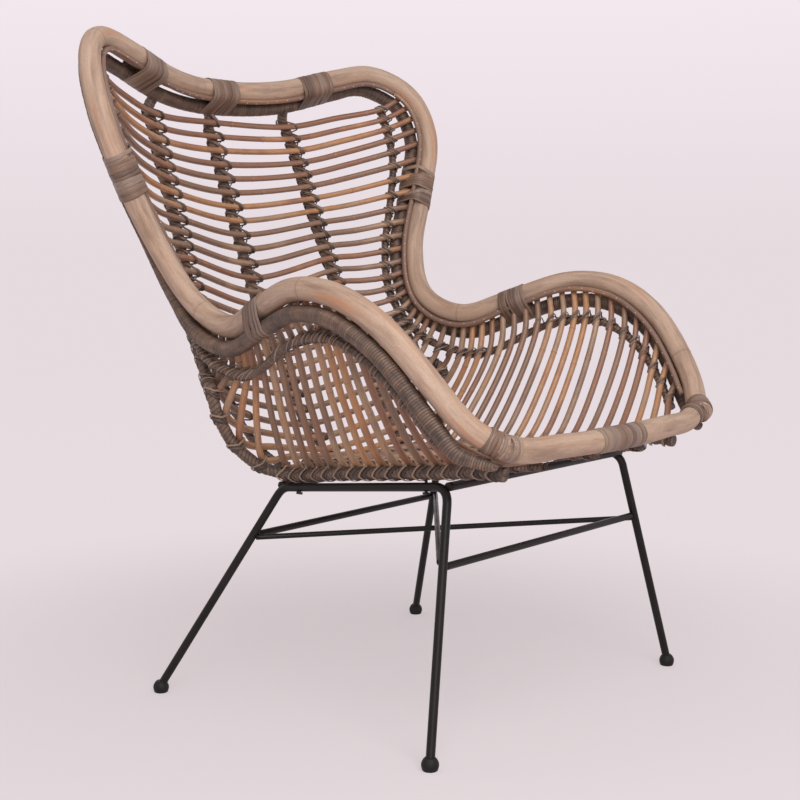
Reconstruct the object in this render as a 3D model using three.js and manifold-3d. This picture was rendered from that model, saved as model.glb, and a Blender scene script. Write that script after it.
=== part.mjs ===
import * as THREE from "three";
import Module from "manifold-3d";
import { mergeVertices } from "three/addons/utils/BufferGeometryUtils.js";

// A rattan wing lounge chair: a bent pole rim, canes hooped from rim to rim over long spars,
// and a welded steel rod base on four ball feet.
// Millimetres, +Z up, the sitter faces -Y. Places are written from the floor midway between the
// feet. At the end the group moves, so that its origin is under the middle of the whole chair.

// Overall reach of the woven shell, which every table of places below is a share of
const shellHalfWidth = 368;
const shellBackReach = 442;
const shellHeight = 950;

// Canes and poles, as radii of the round stock
const poleRadius = 16;
const wrappedRimRadius = 11.5;
const trimRadius = 4.5;
const hoopRadius = 4.75;
const sparRadius = 7.5;
const edgePoleRadius = 8;
const bindingThickness = 2.6;

// Clearances
const seatGap = 0.3;
const lashingGap = 0.5;
const nailedDepth = 1.2;
const straightTolerance = 0.23;

// Hoops
const hoopCount = 43;
const firstFreeHoop = 15;
const wrappedRimDrop = 27.5;

// Bindings of peel round the pole: lengths along the pole
const topBindingLength = 56;
const wingBindingLength = 62;
const armBindingLength = 58;
const cornerBindingLength = 56;
const frontBindingLength = 58;
const topBindingSpread = 190;

// Steel base
const rodRadius = 6;
const stretcherRadius = 5;
const braceRadius = 4;
const bendRadius = 20;
const footHalfWidth = 302;
const footHalfDepth = 254;
const sideRodOutset = 8.75;
const frontStretcherDrop = 98.4;
const rearStretcherDrop = 66.3;
const padRadius = 11.5;
const padLength = 17;
const padFloor = 5;
const screwRadius = 2;
const screwHeadRadius = 4.5;
const screwHeadHeight = 3;
const screwReach = 5;

// Sides of the faceted round sections
const poleSides = 8;
const edgePoleSides = 6;
const sparSides = 5;
const hoopSides = 5;
const trimSides = 4;
const padSides = 12;
const ovalSteps = 4;
const rodSides = 8;

const steelBlack = { color: 0x1d1a1b, roughness: 0.5, metalness: 0.6 };
const poleTan = { color: 0xa88468, roughness: 0.6, metalness: 0 };
const caneBrown = { color: 0x8a5f42, roughness: 0.55, metalness: 0 };
const peelGrey = { color: 0x5d4c40, roughness: 0.75, metalness: 0 };
const rubberBlack = { color: 0x151314, roughness: 0.8, metalness: 0 };

const wasm = await Module();
wasm.setup();
const chair = new THREE.Group();

// Places of the pole's centre line, from the top's middle round to the front rail's middle,
// as shares of the half width, the back reach and the height
const rimShares = [
  [0.000, 0.971, 0.951],
  [0.332, 0.919, 0.959],
  [0.620, 0.853, 0.987],
  [0.818, 0.805, 1.000],
  [0.967, 0.708, 0.963],
  [1.000, 0.636, 0.886],
  [0.913, 0.604, 0.786],
  [0.785, 0.563, 0.679],
  [0.712, 0.464, 0.598],
  [0.726, 0.287, 0.566],
  [0.807, 0.093, 0.597],
  [0.880, -0.106, 0.626],
  [0.905, -0.292, 0.619],
  [0.889, -0.452, 0.579],
  [0.848, -0.581, 0.515],
  [0.777, -0.674, 0.455],
  [0.652, -0.726, 0.425],
  [0.353, -0.751, 0.418],
  [0.000, -0.758, 0.416],
];

// Where the hoops end on the pole: share of the hoops, then share of the pole's half length
const rimStationShares = [
  [0.000, 0.2303],
  [0.095, 0.2846],
  [0.190, 0.3573],
  [0.286, 0.4193],
  [0.381, 0.4589],
  [0.476, 0.4931],
  [0.571, 0.5291],
  [0.667, 0.5722],
  [0.762, 0.6218],
  [0.857, 0.6738],
  [0.952, 0.7435],
  [1.000, 0.7902],
];

// Where the hoops pass over each spar, on the sitter's left: share of the hoops from the top one
// to the front one, then the place as shares of the half width, the back reach and the height
const sideShares = [
  [0.000, 0.842, 0.767, 0.938],
  [0.071, 0.837, 0.715, 0.882],
  [0.119, 0.823, 0.686, 0.833],
  [0.190, 0.753, 0.658, 0.752],
  [0.238, 0.696, 0.638, 0.701],
  [0.310, 0.641, 0.597, 0.629],
  [0.357, 0.628, 0.557, 0.592],
  [0.405, 0.641, 0.498, 0.553],
  [0.476, 0.668, 0.416, 0.519],
  [0.524, 0.688, 0.317, 0.502],
  [0.595, 0.712, 0.197, 0.502],
  [0.643, 0.734, 0.109, 0.519],
  [0.714, 0.780, -0.025, 0.552],
  [0.762, 0.804, -0.124, 0.565],
  [0.833, 0.832, -0.253, 0.566],
  [0.881, 0.837, -0.362, 0.545],
  [0.929, 0.823, -0.452, 0.513],
  [0.976, 0.791, -0.538, 0.469],
  [1.000, 0.772, -0.579, 0.446],
];
const edgeShares = [
  [0.000, 0.639, 0.860, 0.918],
  [0.095, 0.639, 0.792, 0.834],
  [0.190, 0.598, 0.735, 0.737],
  [0.310, 0.546, 0.654, 0.623],
  [0.405, 0.557, 0.553, 0.539],
  [0.476, 0.633, 0.444, 0.487],
  [0.524, 0.701, 0.363, 0.472],
  [0.548, 0.679, 0.356, 0.435],
  [0.571, 0.630, 0.336, 0.396],
  [0.595, 0.552, 0.300, 0.364],
  [0.619, 0.478, 0.245, 0.351],
  [0.714, 0.503, 0.027, 0.363],
  [0.857, 0.539, -0.312, 0.382],
  [1.000, 0.576, -0.652, 0.402],
];
const backShares = [
  [0.000, 0.402, 0.925, 0.898],
  [0.095, 0.416, 0.855, 0.813],
  [0.190, 0.424, 0.785, 0.727],
  [0.310, 0.440, 0.697, 0.621],
  [0.405, 0.443, 0.615, 0.534],
  [0.476, 0.443, 0.525, 0.468],
  [0.524, 0.443, 0.464, 0.421],
  [0.571, 0.408, 0.385, 0.373],
  [0.595, 0.375, 0.333, 0.357],
  [0.619, 0.345, 0.265, 0.349],
  [0.714, 0.340, 0.027, 0.361],
  [0.857, 0.340, -0.317, 0.380],
  [1.000, 0.340, -0.672, 0.400],
];
const keelShares = [
  [0.000, 0.000, 0.995, 0.897],
  [0.095, 0.000, 0.919, 0.800],
  [0.190, 0.000, 0.842, 0.704],
  [0.310, 0.000, 0.738, 0.583],
  [0.405, 0.000, 0.643, 0.502],
  [0.476, 0.000, 0.575, 0.438],
  [0.524, 0.000, 0.511, 0.389],
  [0.571, 0.000, 0.407, 0.353],
  [0.595, 0.000, 0.339, 0.346],
  [0.619, 0.000, 0.269, 0.347],
  [0.714, 0.000, 0.027, 0.361],
  [0.857, 0.000, -0.317, 0.380],
  [1.000, 0.000, -0.679, 0.400],
];

// Ends of the spars, as shares of the hoops
const sideSparShares = [-0.012, 1.012];
const edgePoleShares = [0.476, 1.01];
const backSparShares = [-0.03, 1.004];
const keelSparShares = [-0.0085, 1.015];
const wrappedRimEndShare = 1.03;
const trimShares = [-0.012, 1.02];
const rearBarShare = 0.6235;
const frontBarShare = 0.9195;
const wingBindingShare = 0.163;
const armBindingShare = 0.672;
const cornerShare = 0.85;
const poleCornerShares = [0.809, 0.829];
const frontRailShares = [0.88, 0.92, 0.96, 1];

// Small vector helpers
const vec = (x, y, z) => new THREE.Vector3(x, y, z);
const mirrored = (v) => vec(-v.x, v.y, v.z);
const stepAlong = (from, direction, length) => from.clone().addScaledVector(direction, length);
const unit = (from, to) => to.clone().sub(from).normalize();
const square = (v, axis) => stepAlong(v, axis, -v.dot(axis)).normalize();
const fromShares = ([x, y, z]) => vec(x * shellHalfWidth, y * shellBackReach, z * shellHeight);

// A faceted section holds as much cane as the round one that it stands for
const outerRadius = (radius, sides) =>
  radius * Math.sqrt((2 * Math.PI) / (sides * Math.sin((2 * Math.PI) / sides)));
const flatRadius = (radius, sides) => outerRadius(radius, sides) * Math.cos(Math.PI / sides);
const flatHalfWidth = (radius, sides) => outerRadius(radius, sides) * Math.sin(Math.PI / sides);

// A smooth curve through the rows of a table: the first column is how far along each row stands
function along(rows, share) {
  let i = rows.findIndex((row) => row[0] > share) - 1;
  if (i === -2) i = rows.length - 2;
  i = Math.max(i, 0);
  const slope = (k, axis) => {
    const low = rows[Math.max(k - 1, 0)];
    const high = rows[Math.min(k + 1, rows.length - 1)];
    return (high[axis] - low[axis]) / (high[0] - low[0]);
  };
  const [from, to] = [rows[i], rows[i + 1]];
  const span = to[0] - from[0];
  const t = (share - from[0]) / span;
  const outside = t < 0 || t > 1;
  const value = (axis) => {
    if (outside) {
      const end = t < 0 ? i : i + 1;
      return rows[end][axis] + slope(end, axis) * (share - rows[end][0]);
    }
    const keepFrom = (1 + 2 * t) * (1 - t) ** 2;
    const keepTo = t * t * (3 - 2 * t);
    const pullFrom = t * (1 - t) ** 2 * span * slope(i, axis);
    const pullTo = t * t * (t - 1) * span * slope(i + 1, axis);
    return from[axis] * keepFrom + to[axis] * keepTo + pullFrom + pullTo;
  };
  return from.slice(1).map((_, column) => value(column + 1));
}

// The rim is one closed loop through the pole and the front rail, even on both sides
const halfRim = rimShares.map(fromShares);
const rimLoop = new THREE.CatmullRomCurve3(
  [...halfRim, ...halfRim.slice(1, -1).reverse().map(mirrored)], true);
rimLoop.arcLengthDivisions = 1600;
const rimHalfLength = rimLoop.getLength() / 2;
const onLoop = (halfShare) => THREE.MathUtils.euclideanModulo(halfShare / 2, 1);
const rimAt = (halfShare) => rimLoop.getPointAt(onLoop(halfShare));
const rimOnward = (halfShare) => rimLoop.getTangentAt(onLoop(halfShare));
const rimStation = (share) => along(rimStationShares, share)[0];
const rimPlace = (share) => rimAt(rimStation(share));

// A hoop runs from the pole on the sitter's left, down over the spars, and up to the right
const sidePlace = (share) => fromShares(along(sideShares, share));
const edgePlace = (share) => fromShares(along(edgeShares, share));
const backPlace = (share) => fromShares(along(backShares, share));
const keelPlace = (share) => fromShares(along(keelShares, share));

// A hoop meets the pole at a slant, so a distance square to the pole is longer along the hoop
function hoopEnd(share) {
  const rim = rimPlace(share);
  const towards = unit(rim, sidePlace(share));
  const slantCos = towards.dot(rimOnward(rimStation(share)));
  const slantSin = Math.sqrt(1 - slantCos ** 2);
  const down = (distance) => stepAlong(rim, towards, distance / slantSin);
  const clear = outerRadius(poleRadius, poleSides) + seatGap
    + outerRadius(hoopRadius, hoopSides) * Math.abs(slantCos);
  return { rim, towards, down, place: down(clear) };
}

function hoopLine(share) {
  const half = [hoopEnd(share).place, sidePlace(share), edgePlace(share), backPlace(share)];
  return new THREE.CatmullRomCurve3([...half, keelPlace(share), ...half.reverse().map(mirrored)]);
}

// Hoop places are counted in spars: 0 at the pole, 1 side, 2 edge, 3 back, 4 keel, up to 8
const WRAPPED = 0.25;
const SIDE = 1;
const EDGE = 2;
const BACK = 3;
const KEEL = 4;
const HOOP_SPANS = 8;
const SMALL_STEP = 0.004;
const backHoopStops = [0, SIDE, EDGE, BACK, KEEL];
const seatHoopStops = [0, SIDE, (SIDE + EDGE) / 2, EDGE, (EDGE + BACK) / 2, BACK, KEEL];
const hoopShare = (number) => (number - 1) / (hoopCount - 1);
const isBackHoop = (share) => share < hoopShare(firstFreeHoop - 0.5);
const hoopStops = (share) => (isBackHoop(share) ? backHoopStops : seatHoopStops);

// A place on the shell with its outward normal, its direction along the hoop and across the hoops
function shellFrame(share, spars) {
  const line = hoopLine(share);
  const point = line.getPoint(spars / HOOP_SPANS);
  const onward = line.getTangent(spars / HOOP_SPANS);
  const above = hoopLine(share - SMALL_STEP).getPoint(spars / HOOP_SPANS);
  const below = hoopLine(share + SMALL_STEP).getPoint(spars / HOOP_SPANS);
  const across = unit(above, below);
  const outward = onward.clone().cross(across).negate().normalize();
  return { point, outward };
}

// How steeply a hoop's facets climb away from a spar that crosses it in a hollow
function crossingFrame(share, spars) {
  const { point, outward } = shellFrame(share, spars);
  const stops = hoopStops(share);
  const at = stops.indexOf(spars);
  const neighbours = [stops[at - 1], stops[at + 1] ?? spars + 1];
  const climbs = neighbours.map((stop) =>
    unit(point, hoopLine(share).getPoint(stop / HOOP_SPANS)).dot(outward));
  return { point, outward, climb: Math.max(0, ...climbs) };
}

// Where the wrapped rim crosses each hoop, on the straight from the pole to the side spar
function wrappedRimFrame(share) {
  const { towards, down } = hoopEnd(share);
  const { outward } = shellFrame(share, WRAPPED);
  return { point: down(wrappedRimDrop), outward: square(outward, towards), climb: 0 };
}

// A route holds the stations of one cane: places and the way that its first flat faces.
// ExtrudeGeometry asks it for both, so the flats of crossing canes lie on each other.
class Route extends THREE.Curve {
  constructor(stations) {
    super();
    this.stations = stations;
  }

  getPoint(t) {
    return this.stations[Math.round(t * (this.stations.length - 1))].point.clone();
  }

  getSpacedPoints() {
    return this.stations.map((station) => station.point.clone());
  }

  computeFrenetFrames() {
    const points = this.stations.map((station) => station.point);
    const last = points.length - 1;
    const tangents = points.map((point, i) => this.stations[i].onward
      ?? unit(points[Math.max(i - 1, 0)], points[Math.min(i + 1, last)]));
    const normals = this.stations.map((station, i) => square(station.facing, tangents[i]));
    const binormals = normals.map((normal, i) => tangents[i].clone().cross(normal));
    return { tangents, normals, binormals };
  }
}

// Stations that lie on the straight between their neighbours are left out
function withoutStraights(stations) {
  const kept = [stations[0]];
  let last = 0;
  for (let i = 1; i < stations.length - 1; i += 1) {
    const chord = new THREE.Line3(stations[last].point, stations[i + 1].point);
    const bowed = stations.slice(last + 1, i + 1).some(({ point }) =>
      chord.closestPointToPoint(point, true, new THREE.Vector3()).distanceTo(point) > straightTolerance);
    if (bowed) {
      kept.push(stations[i]);
      last = i;
    }
  }
  return [...kept, stations.at(-1)];
}

function sweep(outline, stations) {
  return new THREE.ExtrudeGeometry(new THREE.Shape(outline), {
    steps: stations.length - 1,
    curveSegments: 1,
    extrudePath: new Route(stations),
  });
}

// A cane of round stock, faceted, with a flat towards the way that its stations face
function cane(stations, radius, sides) {
  const corner = outerRadius(radius, sides);
  const outline = Array.from({ length: sides }, (_, i) => {
    const angle = ((2 * i + 1) * Math.PI) / sides;
    return new THREE.Vector2(corner * Math.cos(angle), corner * Math.sin(angle));
  });
  return sweep(outline, withoutStraights(stations));
}

// Solids for cutting and joining
function solid(geometry) {
  const bare = geometry.clone();
  bare.deleteAttribute("normal");
  bare.deleteAttribute("uv");
  const closed = mergeVertices(bare);
  return new wasm.Manifold(new wasm.Mesh({
    numProp: 3,
    vertProperties: closed.attributes.position.array,
    triVerts: new Uint32Array(closed.index.array),
  }));
}

function geometryOf(manifold) {
  const mesh = manifold.getMesh();
  const geometry = new THREE.BufferGeometry();
  geometry.setAttribute("position", new THREE.BufferAttribute(mesh.vertProperties, 3));
  geometry.setIndex(new THREE.BufferAttribute(mesh.triVerts, 1));
  return geometry;
}

function add(name, geometry, finish) {
  const mesh = new THREE.Mesh(geometry, new THREE.MeshStandardMaterial(finish));
  mesh.name = name;
  chair.add(mesh);
}

const addSolid = (name, manifold, finish) => add(name, geometryOf(manifold), finish);

// A straight round bar between two places
function bar(from, to, radius, sides) {
  const length = from.distanceTo(to);
  const geometry = new THREE.CylinderGeometry(
    outerRadius(radius, sides), outerRadius(radius, sides), length, sides);
  geometry.applyQuaternion(new THREE.Quaternion().setFromUnitVectors(vec(0, 1, 0), unit(from, to)));
  const middle = from.clone().lerp(to, 0.5);
  return geometry.translate(middle.x, middle.y, middle.z);
}

// The hoops
function hoopStations(share) {
  const half = hoopStops(share).map((spars) => {
    const { point, outward } = shellFrame(share, spars);
    return { point, facing: outward };
  });
  const middle = half.pop();
  const other = half.map(({ point, facing }) => ({ point: mirrored(point), facing: mirrored(facing) }));
  return [...half, middle, ...other.reverse()];
}

const hoopSolid = (number, radius) => cane(hoopStations(hoopShare(number)), radius, hoopSides);

for (let number = firstFreeHoop; number <= hoopCount; number += 1) {
  add(`hoop_${String(number).padStart(2, "0")}`, hoopSolid(number, hoopRadius), caneBrown);
}

// A spar lies outside the hoops, with one station at each hoop and a flat towards it.
// Where the hoop or the spar bends round the other, it stands off by the climb of their facets.
const crossings = Array.from({ length: hoopCount }, (_, i) => hoopShare(i + 1));

function sparStations([start, end], frameAt, radius, sides, gapAt = () => lashingGap) {
  const shares = [start, ...crossings.filter((share) => share > start && share < end), end];
  const frames = shares.map(frameAt);
  const offset = flatRadius(hoopRadius, hoopSides) + flatRadius(radius, sides);
  return frames.map(({ point, outward, climb }, i) => {
    const neighbours = [frames[i - 1] ?? frames[i + 1], frames[i + 1] ?? frames[i - 1]];
    const dips = neighbours.map((neighbour) => -unit(point, neighbour.point).dot(outward));
    const room = climb * flatHalfWidth(radius, sides)
      + Math.max(0, ...dips) * flatHalfWidth(hoopRadius, hoopSides);
    return {
      point: stepAlong(point, outward, offset + room + gapAt(shares[i])),
      facing: outward.negate(),
    };
  });
}

const sideFrameAt = (share) => crossingFrame(share, SIDE);
const edgeFrameAt = (share) => crossingFrame(share, EDGE);
const backFrameAt = (share) => crossingFrame(share, BACK);
const keelFrameAt = (share) => crossingFrame(share, KEEL);

// Mirrored stations are read in reverse, so their direction turns round too
const mirrorStations = (stations) => stations.map(({ point, facing, onward }) => (
  { point: mirrored(point), facing: mirrored(facing), onward: onward && mirrored(onward).negate() }));

// The wrapped rim follows the pole, and outside the hoops it turns to hang below the top rail
const wrappedRimOffset = flatRadius(hoopRadius, hoopSides)
  + flatRadius(wrappedRimRadius, sparSides) + lashingGap;
const rimSpacing = Math.hypot(wrappedRimDrop, wrappedRimOffset);
const topDrop = vec(0, wrappedRimOffset, -wrappedRimDrop).normalize();
const topSteps = 14;
const topStationShares = Array.from({ length: topSteps }, (_, i) => i / topSteps);

const sideWrappedRim = sparStations(
  [0, wrappedRimEndShare], wrappedRimFrame, wrappedRimRadius, sparSides);
const firstDrop = unit(rimPlace(0), sideWrappedRim[0].point);

// Above the first hoop: the way from the pole to the wrapped rim, and the shell's own directions,
// at a share of the way out from the middle of the top rail
function topFrame(share) {
  const outer = share < 0 ? mirrored(firstDrop) : firstDrop;
  const onward = rimOnward(share * rimStation(0));
  const drop = square(topDrop.clone().lerp(outer, share * share), onward);
  const beside = onward.clone().cross(drop);
  const outward = drop.clone().multiplyScalar(wrappedRimOffset).addScaledVector(beside, wrappedRimDrop);
  const towards = drop.clone().multiplyScalar(wrappedRimDrop).addScaledVector(beside, -wrappedRimOffset);
  return { drop, outward: outward.normalize(), towards: towards.normalize() };
}
const topWrappedRim = topStationShares.map((share) => {
  const { drop, outward } = topFrame(share);
  return { point: stepAlong(rimAt(share * rimStation(0)), drop, rimSpacing), facing: outward.negate() };
});
const halfWrappedRim = [...topWrappedRim, ...sideWrappedRim];
const wrappedRimStations = [...mirrorStations(halfWrappedRim.slice(1)).reverse(), ...halfWrappedRim];
addSolid("wrapped_rim", solid(cane(wrappedRimStations, wrappedRimRadius, sparSides)), peelGrey);
const wrappedRimRoom = solid(cane(wrappedRimStations, wrappedRimRadius + seatGap, sparSides));

// The pole: one station at each hoop end, with a flat towards the hoop
const poleEndGap = seatGap / rimHalfLength / 2;
const poleTowards = (halfShare) => {
  if (halfShare < rimStation(0)) return topFrame(halfShare / rimStation(0)).towards;
  const last = rimStation(1);
  if (halfShare > last) {
    const low = unit(rimPlace(1), sidePlace(1));
    const t = (halfShare - last) / (1 - last);
    return low.lerp(vec(0, 0, -1), t).normalize();
  }
  return null;
};
const hoopEndStations = crossings.map((share) => (
  { halfShare: rimStation(share), facing: unit(rimPlace(share), sidePlace(share)) }));
const poleStation = (halfShare) => ({ point: rimAt(halfShare), facing: poleTowards(halfShare) });
const poleCut = (halfShare) => (
  { ...poleStation(halfShare), onward: rimOnward(cornerShare) });
const halfPole = [
  ...topStationShares.map((share) => poleStation(share * rimStation(0))),
  ...hoopEndStations.map(({ halfShare, facing }) => ({ point: rimAt(halfShare), facing })),
  ...poleCornerShares.map(poleStation),
  poleCut(cornerShare - poleEndGap),
];
const poleStations = [...mirrorStations(halfPole.slice(1)).reverse(), ...halfPole];
const halfFront = [poleCut(cornerShare + poleEndGap), ...frontRailShares.map(poleStation)];
const frontStations = [...halfFront.slice(0, -1), ...mirrorStations(halfFront).reverse()];

// A binding is a sleeve of wound peel round a stretch of the pole
const bindingRadius = poleRadius + bindingThickness;
function bindingStations(centre, length) {
  const reach = length / rimHalfLength / 2;
  return [-1, 0, 1].map((t) => {
    const halfShare = centre + t * reach;
    const nearest = hoopEndStations.reduce((best, end) =>
      Math.abs(end.halfShare - halfShare) < Math.abs(best.halfShare - halfShare) ? end : best);
    return { halfShare, point: rimAt(halfShare), facing: poleTowards(halfShare) ?? nearest.facing };
  });
}

const bindingSleeve = (centre, length) =>
  solid(cane(bindingStations(centre, length), bindingRadius, poleSides));
const mirrorSolid = (manifold) => manifold.mirror([1, 0, 0]);

// The top bindings take in the wrapped rim too: an oval sleeve, round the pole and round the rim
function topBinding(centre) {
  const stations = bindingStations(centre, topBindingLength).map((station) => {
    return { ...station, facing: topFrame(station.halfShare / rimStation(0)).drop };
  });
  const wrapped = outerRadius(wrappedRimRadius, sparSides) + bindingThickness;
  const lean = Math.acos((bindingRadius - wrapped) / rimSpacing);
  const arc = (middle, radius, from, to) => Array.from({ length: ovalSteps + 1 }, (_, i) => {
    const angle = from + ((to - from) * i) / ovalSteps;
    return new THREE.Vector2(middle + radius * Math.cos(angle), radius * Math.sin(angle));
  });
  const outline = [
    ...arc(rimSpacing, wrapped, -lean, lean),
    ...arc(0, bindingRadius, lean, 2 * Math.PI - lean),
  ];
  return solid(sweep(outline, stations)).subtract(wrappedRimRoom);
}

const trimReach = outerRadius(trimRadius, trimSides);
const trimSpacing = outerRadius(poleRadius, poleSides) + trimReach + lashingGap;
const trimInset = outerRadius(hoopRadius, hoopSides) + trimReach + seatGap;

// The trim cane is nailed to the pole, over the hoop ends
function trimStations() {
  const [start, end] = trimShares;
  const down = Math.sqrt(trimSpacing ** 2 - trimInset ** 2);
  return [start, ...crossings, end].map((share) => {
    const { outward } = shellFrame(share, 0);
    return { point: stepAlong(hoopEnd(share).down(down), outward, -trimInset), facing: outward };
  });
}

const leftTrim = trimStations();
add("trim_cane_left", cane(leftTrim, trimRadius, trimSides), poleTan);
add("trim_cane_right", cane(mirrorStations(leftTrim), trimRadius, trimSides), poleTan);
const trimRoom = solid(cane(leftTrim, trimRadius + seatGap, trimSides));

const nearHoops = (share, reach) => Array.from({ length: hoopCount }, (_, i) => i + 1)
  .filter((number) => Math.abs(hoopShare(number) - share) * hoopCount < reach);
const hoopRooms = [...nearHoops(wingBindingShare, 3), ...nearHoops(armBindingShare, 4)]
  .map((number) => solid(hoopSolid(number, hoopRadius + seatGap)));

const spreadStation = topBindingSpread / rimHalfLength;
const cutSleeve = (sleeve) => [trimRoom, ...hoopRooms].reduce((body, room) => body.subtract(room), sleeve);
const sideSleeves = [
  cutSleeve(bindingSleeve(rimStation(wingBindingShare), wingBindingLength)),
  cutSleeve(bindingSleeve(rimStation(armBindingShare), armBindingLength)),
  topBinding(spreadStation),
];
let rimPole = solid(cane(poleStations, poleRadius, poleSides)).add(topBinding(0));
for (const sleeve of sideSleeves) {
  rimPole = rimPole.add(sleeve).add(mirrorSolid(sleeve));
}
addSolid("rim_pole", rimPole, poleTan);

// The front rail closes the rim, and three sleeves bind it
add("front_rail", cane(frontStations, poleRadius, poleSides), poleTan);
const poleRoom = solid(cane(poleStations, poleRadius + seatGap, poleSides));
const frontRoom = solid(cane(frontStations, poleRadius + seatGap, poleSides));
const cornerSleeve = bindingSleeve(cornerShare, cornerBindingLength)
  .subtract(poleRoom).subtract(frontRoom).subtract(wrappedRimRoom).subtract(trimRoom);
addSolid("corner_binding_left", cornerSleeve, peelGrey);
addSolid("corner_binding_right", mirrorSolid(cornerSleeve), peelGrey);
addSolid("front_binding", bindingSleeve(1, frontBindingLength).subtract(frontRoom), peelGrey);

// The spars under the hoops
const addPair = (name, stations, radius, sides, finish) => {
  addSolid(`${name}_left`, solid(cane(stations, radius, sides)).subtract(wrappedRimRoom), finish);
  addSolid(`${name}_right`,
    solid(cane(mirrorStations(stations), radius, sides)).subtract(wrappedRimRoom), finish);
};
const sideSpar = sparStations(sideSparShares, sideFrameAt, sparRadius, sparSides);
const backSpar = sparStations(backSparShares, backFrameAt, sparRadius, sparSides);
addPair("side_spar", sideSpar, sparRadius, sparSides, peelGrey);
addPair("back_spar", backSpar, sparRadius, sparSides, peelGrey);
const edgeStations = sparStations(edgePoleShares, edgeFrameAt, edgePoleRadius, edgePoleSides);

// The keel spar and the back hoops, nailed together into one back panel
const keelGap = (share) => (isBackHoop(share) ? -nailedDepth : lashingGap);
const keelStations = sparStations(keelSparShares, keelFrameAt, sparRadius, sparSides, keelGap);
let backPanel = solid(cane(keelStations, sparRadius, sparSides)).subtract(wrappedRimRoom);
for (let number = 1; number < firstFreeHoop; number += 1) {
  backPanel = backPanel.add(solid(hoopSolid(number, hoopRadius)));
}
addSolid("keel_spar_and_back_hoops", backPanel, caneBrown);

// The base: two bent rods, cross bars under the seat, stretchers and crossed braces
const underKeel = (share) => {
  const { point, outward } = keelFrameAt(share);
  const sparDepth = flatRadius(sparRadius, sparSides) + outerRadius(sparRadius, sparSides);
  const depth = flatRadius(hoopRadius, hoopSides) + sparDepth
    + outerRadius(rodRadius, rodSides) + lashingGap + seatGap;
  return stepAlong(point, outward, depth);
};
const foot = (sign) => vec(footHalfWidth, sign * footHalfDepth, 0);
function rodTop(share) {
  const { y, z } = underKeel(share);
  return vec(edgePlace(share).x + sideRodOutset, y, z);
}
const frontTop = rodTop(frontBarShare);
const rearTop = rodTop(rearBarShare);
const onLine = (from, to, height) => from.clone().lerp(to, (height - from.z) / (to.z - from.z));
const rodStart = (sign, top, grow) => onLine(foot(sign), top, padFloor + seatGap - grow);

// A bend's stations: where the straights end and three between, on the round of the bend
function bend(before, at, after) {
  const into = unit(at, before);
  const out = unit(at, after);
  const half = into.angleTo(out) / 2;
  const reach = bendRadius / Math.tan(half);
  const centre = stepAlong(at, into.clone().add(out).normalize(), bendRadius / Math.sin(half));
  const start = stepAlong(at, into, reach).sub(centre);
  const end = stepAlong(at, out, reach).sub(centre);
  const turn = start.angleTo(end);
  return [0, 0.25, 0.5, 0.75, 1].map((t) => start.clone().multiplyScalar(Math.sin((1 - t) * turn))
    .addScaledVector(end, Math.sin(t * turn)).divideScalar(Math.sin(turn)).add(centre));
}

function sideRod(grow) {
  const points = [
    rodStart(-1, frontTop, grow),
    ...bend(foot(-1), frontTop, rearTop),
    ...bend(frontTop, rearTop, foot(1)),
    rodStart(1, rearTop, grow),
  ];
  const stations = points.map((point) => ({ point, facing: vec(1, 0, 0) }));
  return solid(cane(stations, rodRadius + grow, rodSides));
}
const rodRoom = sideRod(seatGap);
const bothRodRooms = rodRoom.add(mirrorSolid(rodRoom));

// Screws rise through the side rods into the edge poles
const screwShares = [0.12, 0.88];
const screwAxes = screwShares.map((share) => {
  const place = rearTop.clone().lerp(frontTop, share);
  const nearest = edgeStations.reduce((best, station) =>
    station.point.distanceTo(place) < best.point.distanceTo(place) ? station : best);
  const onward = unit(rearTop, frontTop);
  return { place, up: square(unit(place, nearest.point), onward) };
});
function screw({ place, up }) {
  const under = stepAlong(place, up, -outerRadius(rodRadius, rodSides) - seatGap);
  const inHead = stepAlong(under, up, -screwHeadHeight / 2);
  const shank = bar(inHead, stepAlong(place, up, rodRadius + edgePoleRadius + screwReach),
    screwRadius, rodSides);
  const head = bar(stepAlong(under, up, -screwHeadHeight), under, screwHeadRadius, rodSides);
  return solid(shank).add(solid(head));
}
let sideFrame = sideRod(0);
let edgePole = solid(cane(edgeStations, edgePoleRadius, edgePoleSides)).subtract(rodRoom);
for (const axis of screwAxes) {
  const hole = solid(bar(stepAlong(axis.place, axis.up, -2 * rodRadius),
    stepAlong(axis.place, axis.up, rodRadius + edgePoleRadius + screwReach + seatGap),
    screwRadius + seatGap, rodSides));
  sideFrame = sideFrame.subtract(hole);
  edgePole = edgePole.subtract(hole);
}
addSolid("edge_pole_left", edgePole, peelGrey);
addSolid("edge_pole_right", mirrorSolid(edgePole), peelGrey);
addSolid("side_frame_left", sideFrame, steelBlack);
addSolid("side_frame_right", mirrorSolid(sideFrame), steelBlack);
screwAxes.forEach((axis, i) => {
  const place = ["rear", "front"][i];
  const body = screw(axis);
  addSolid(`screw_${place}_left`, body, steelBlack);
  addSolid(`screw_${place}_right`, mirrorSolid(body), steelBlack);
});

const crossBar = (from, to, radius) => solid(bar(from, to, radius, rodSides)).subtract(bothRodRooms);
addSolid("front_cross_bar", crossBar(frontTop, mirrored(frontTop), rodRadius), steelBlack);
addSolid("rear_cross_bar", crossBar(rearTop, mirrored(rearTop), rodRadius), steelBlack);
const frontJoint = onLine(foot(-1), frontTop, frontTop.z - frontStretcherDrop);
const rearJoint = onLine(foot(1), rearTop, rearTop.z - rearStretcherDrop);
addSolid("front_stretcher", crossBar(frontJoint, mirrored(frontJoint), stretcherRadius), steelBlack);
addSolid("rear_stretcher", crossBar(rearJoint, mirrored(rearJoint), stretcherRadius), steelBlack);

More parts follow.
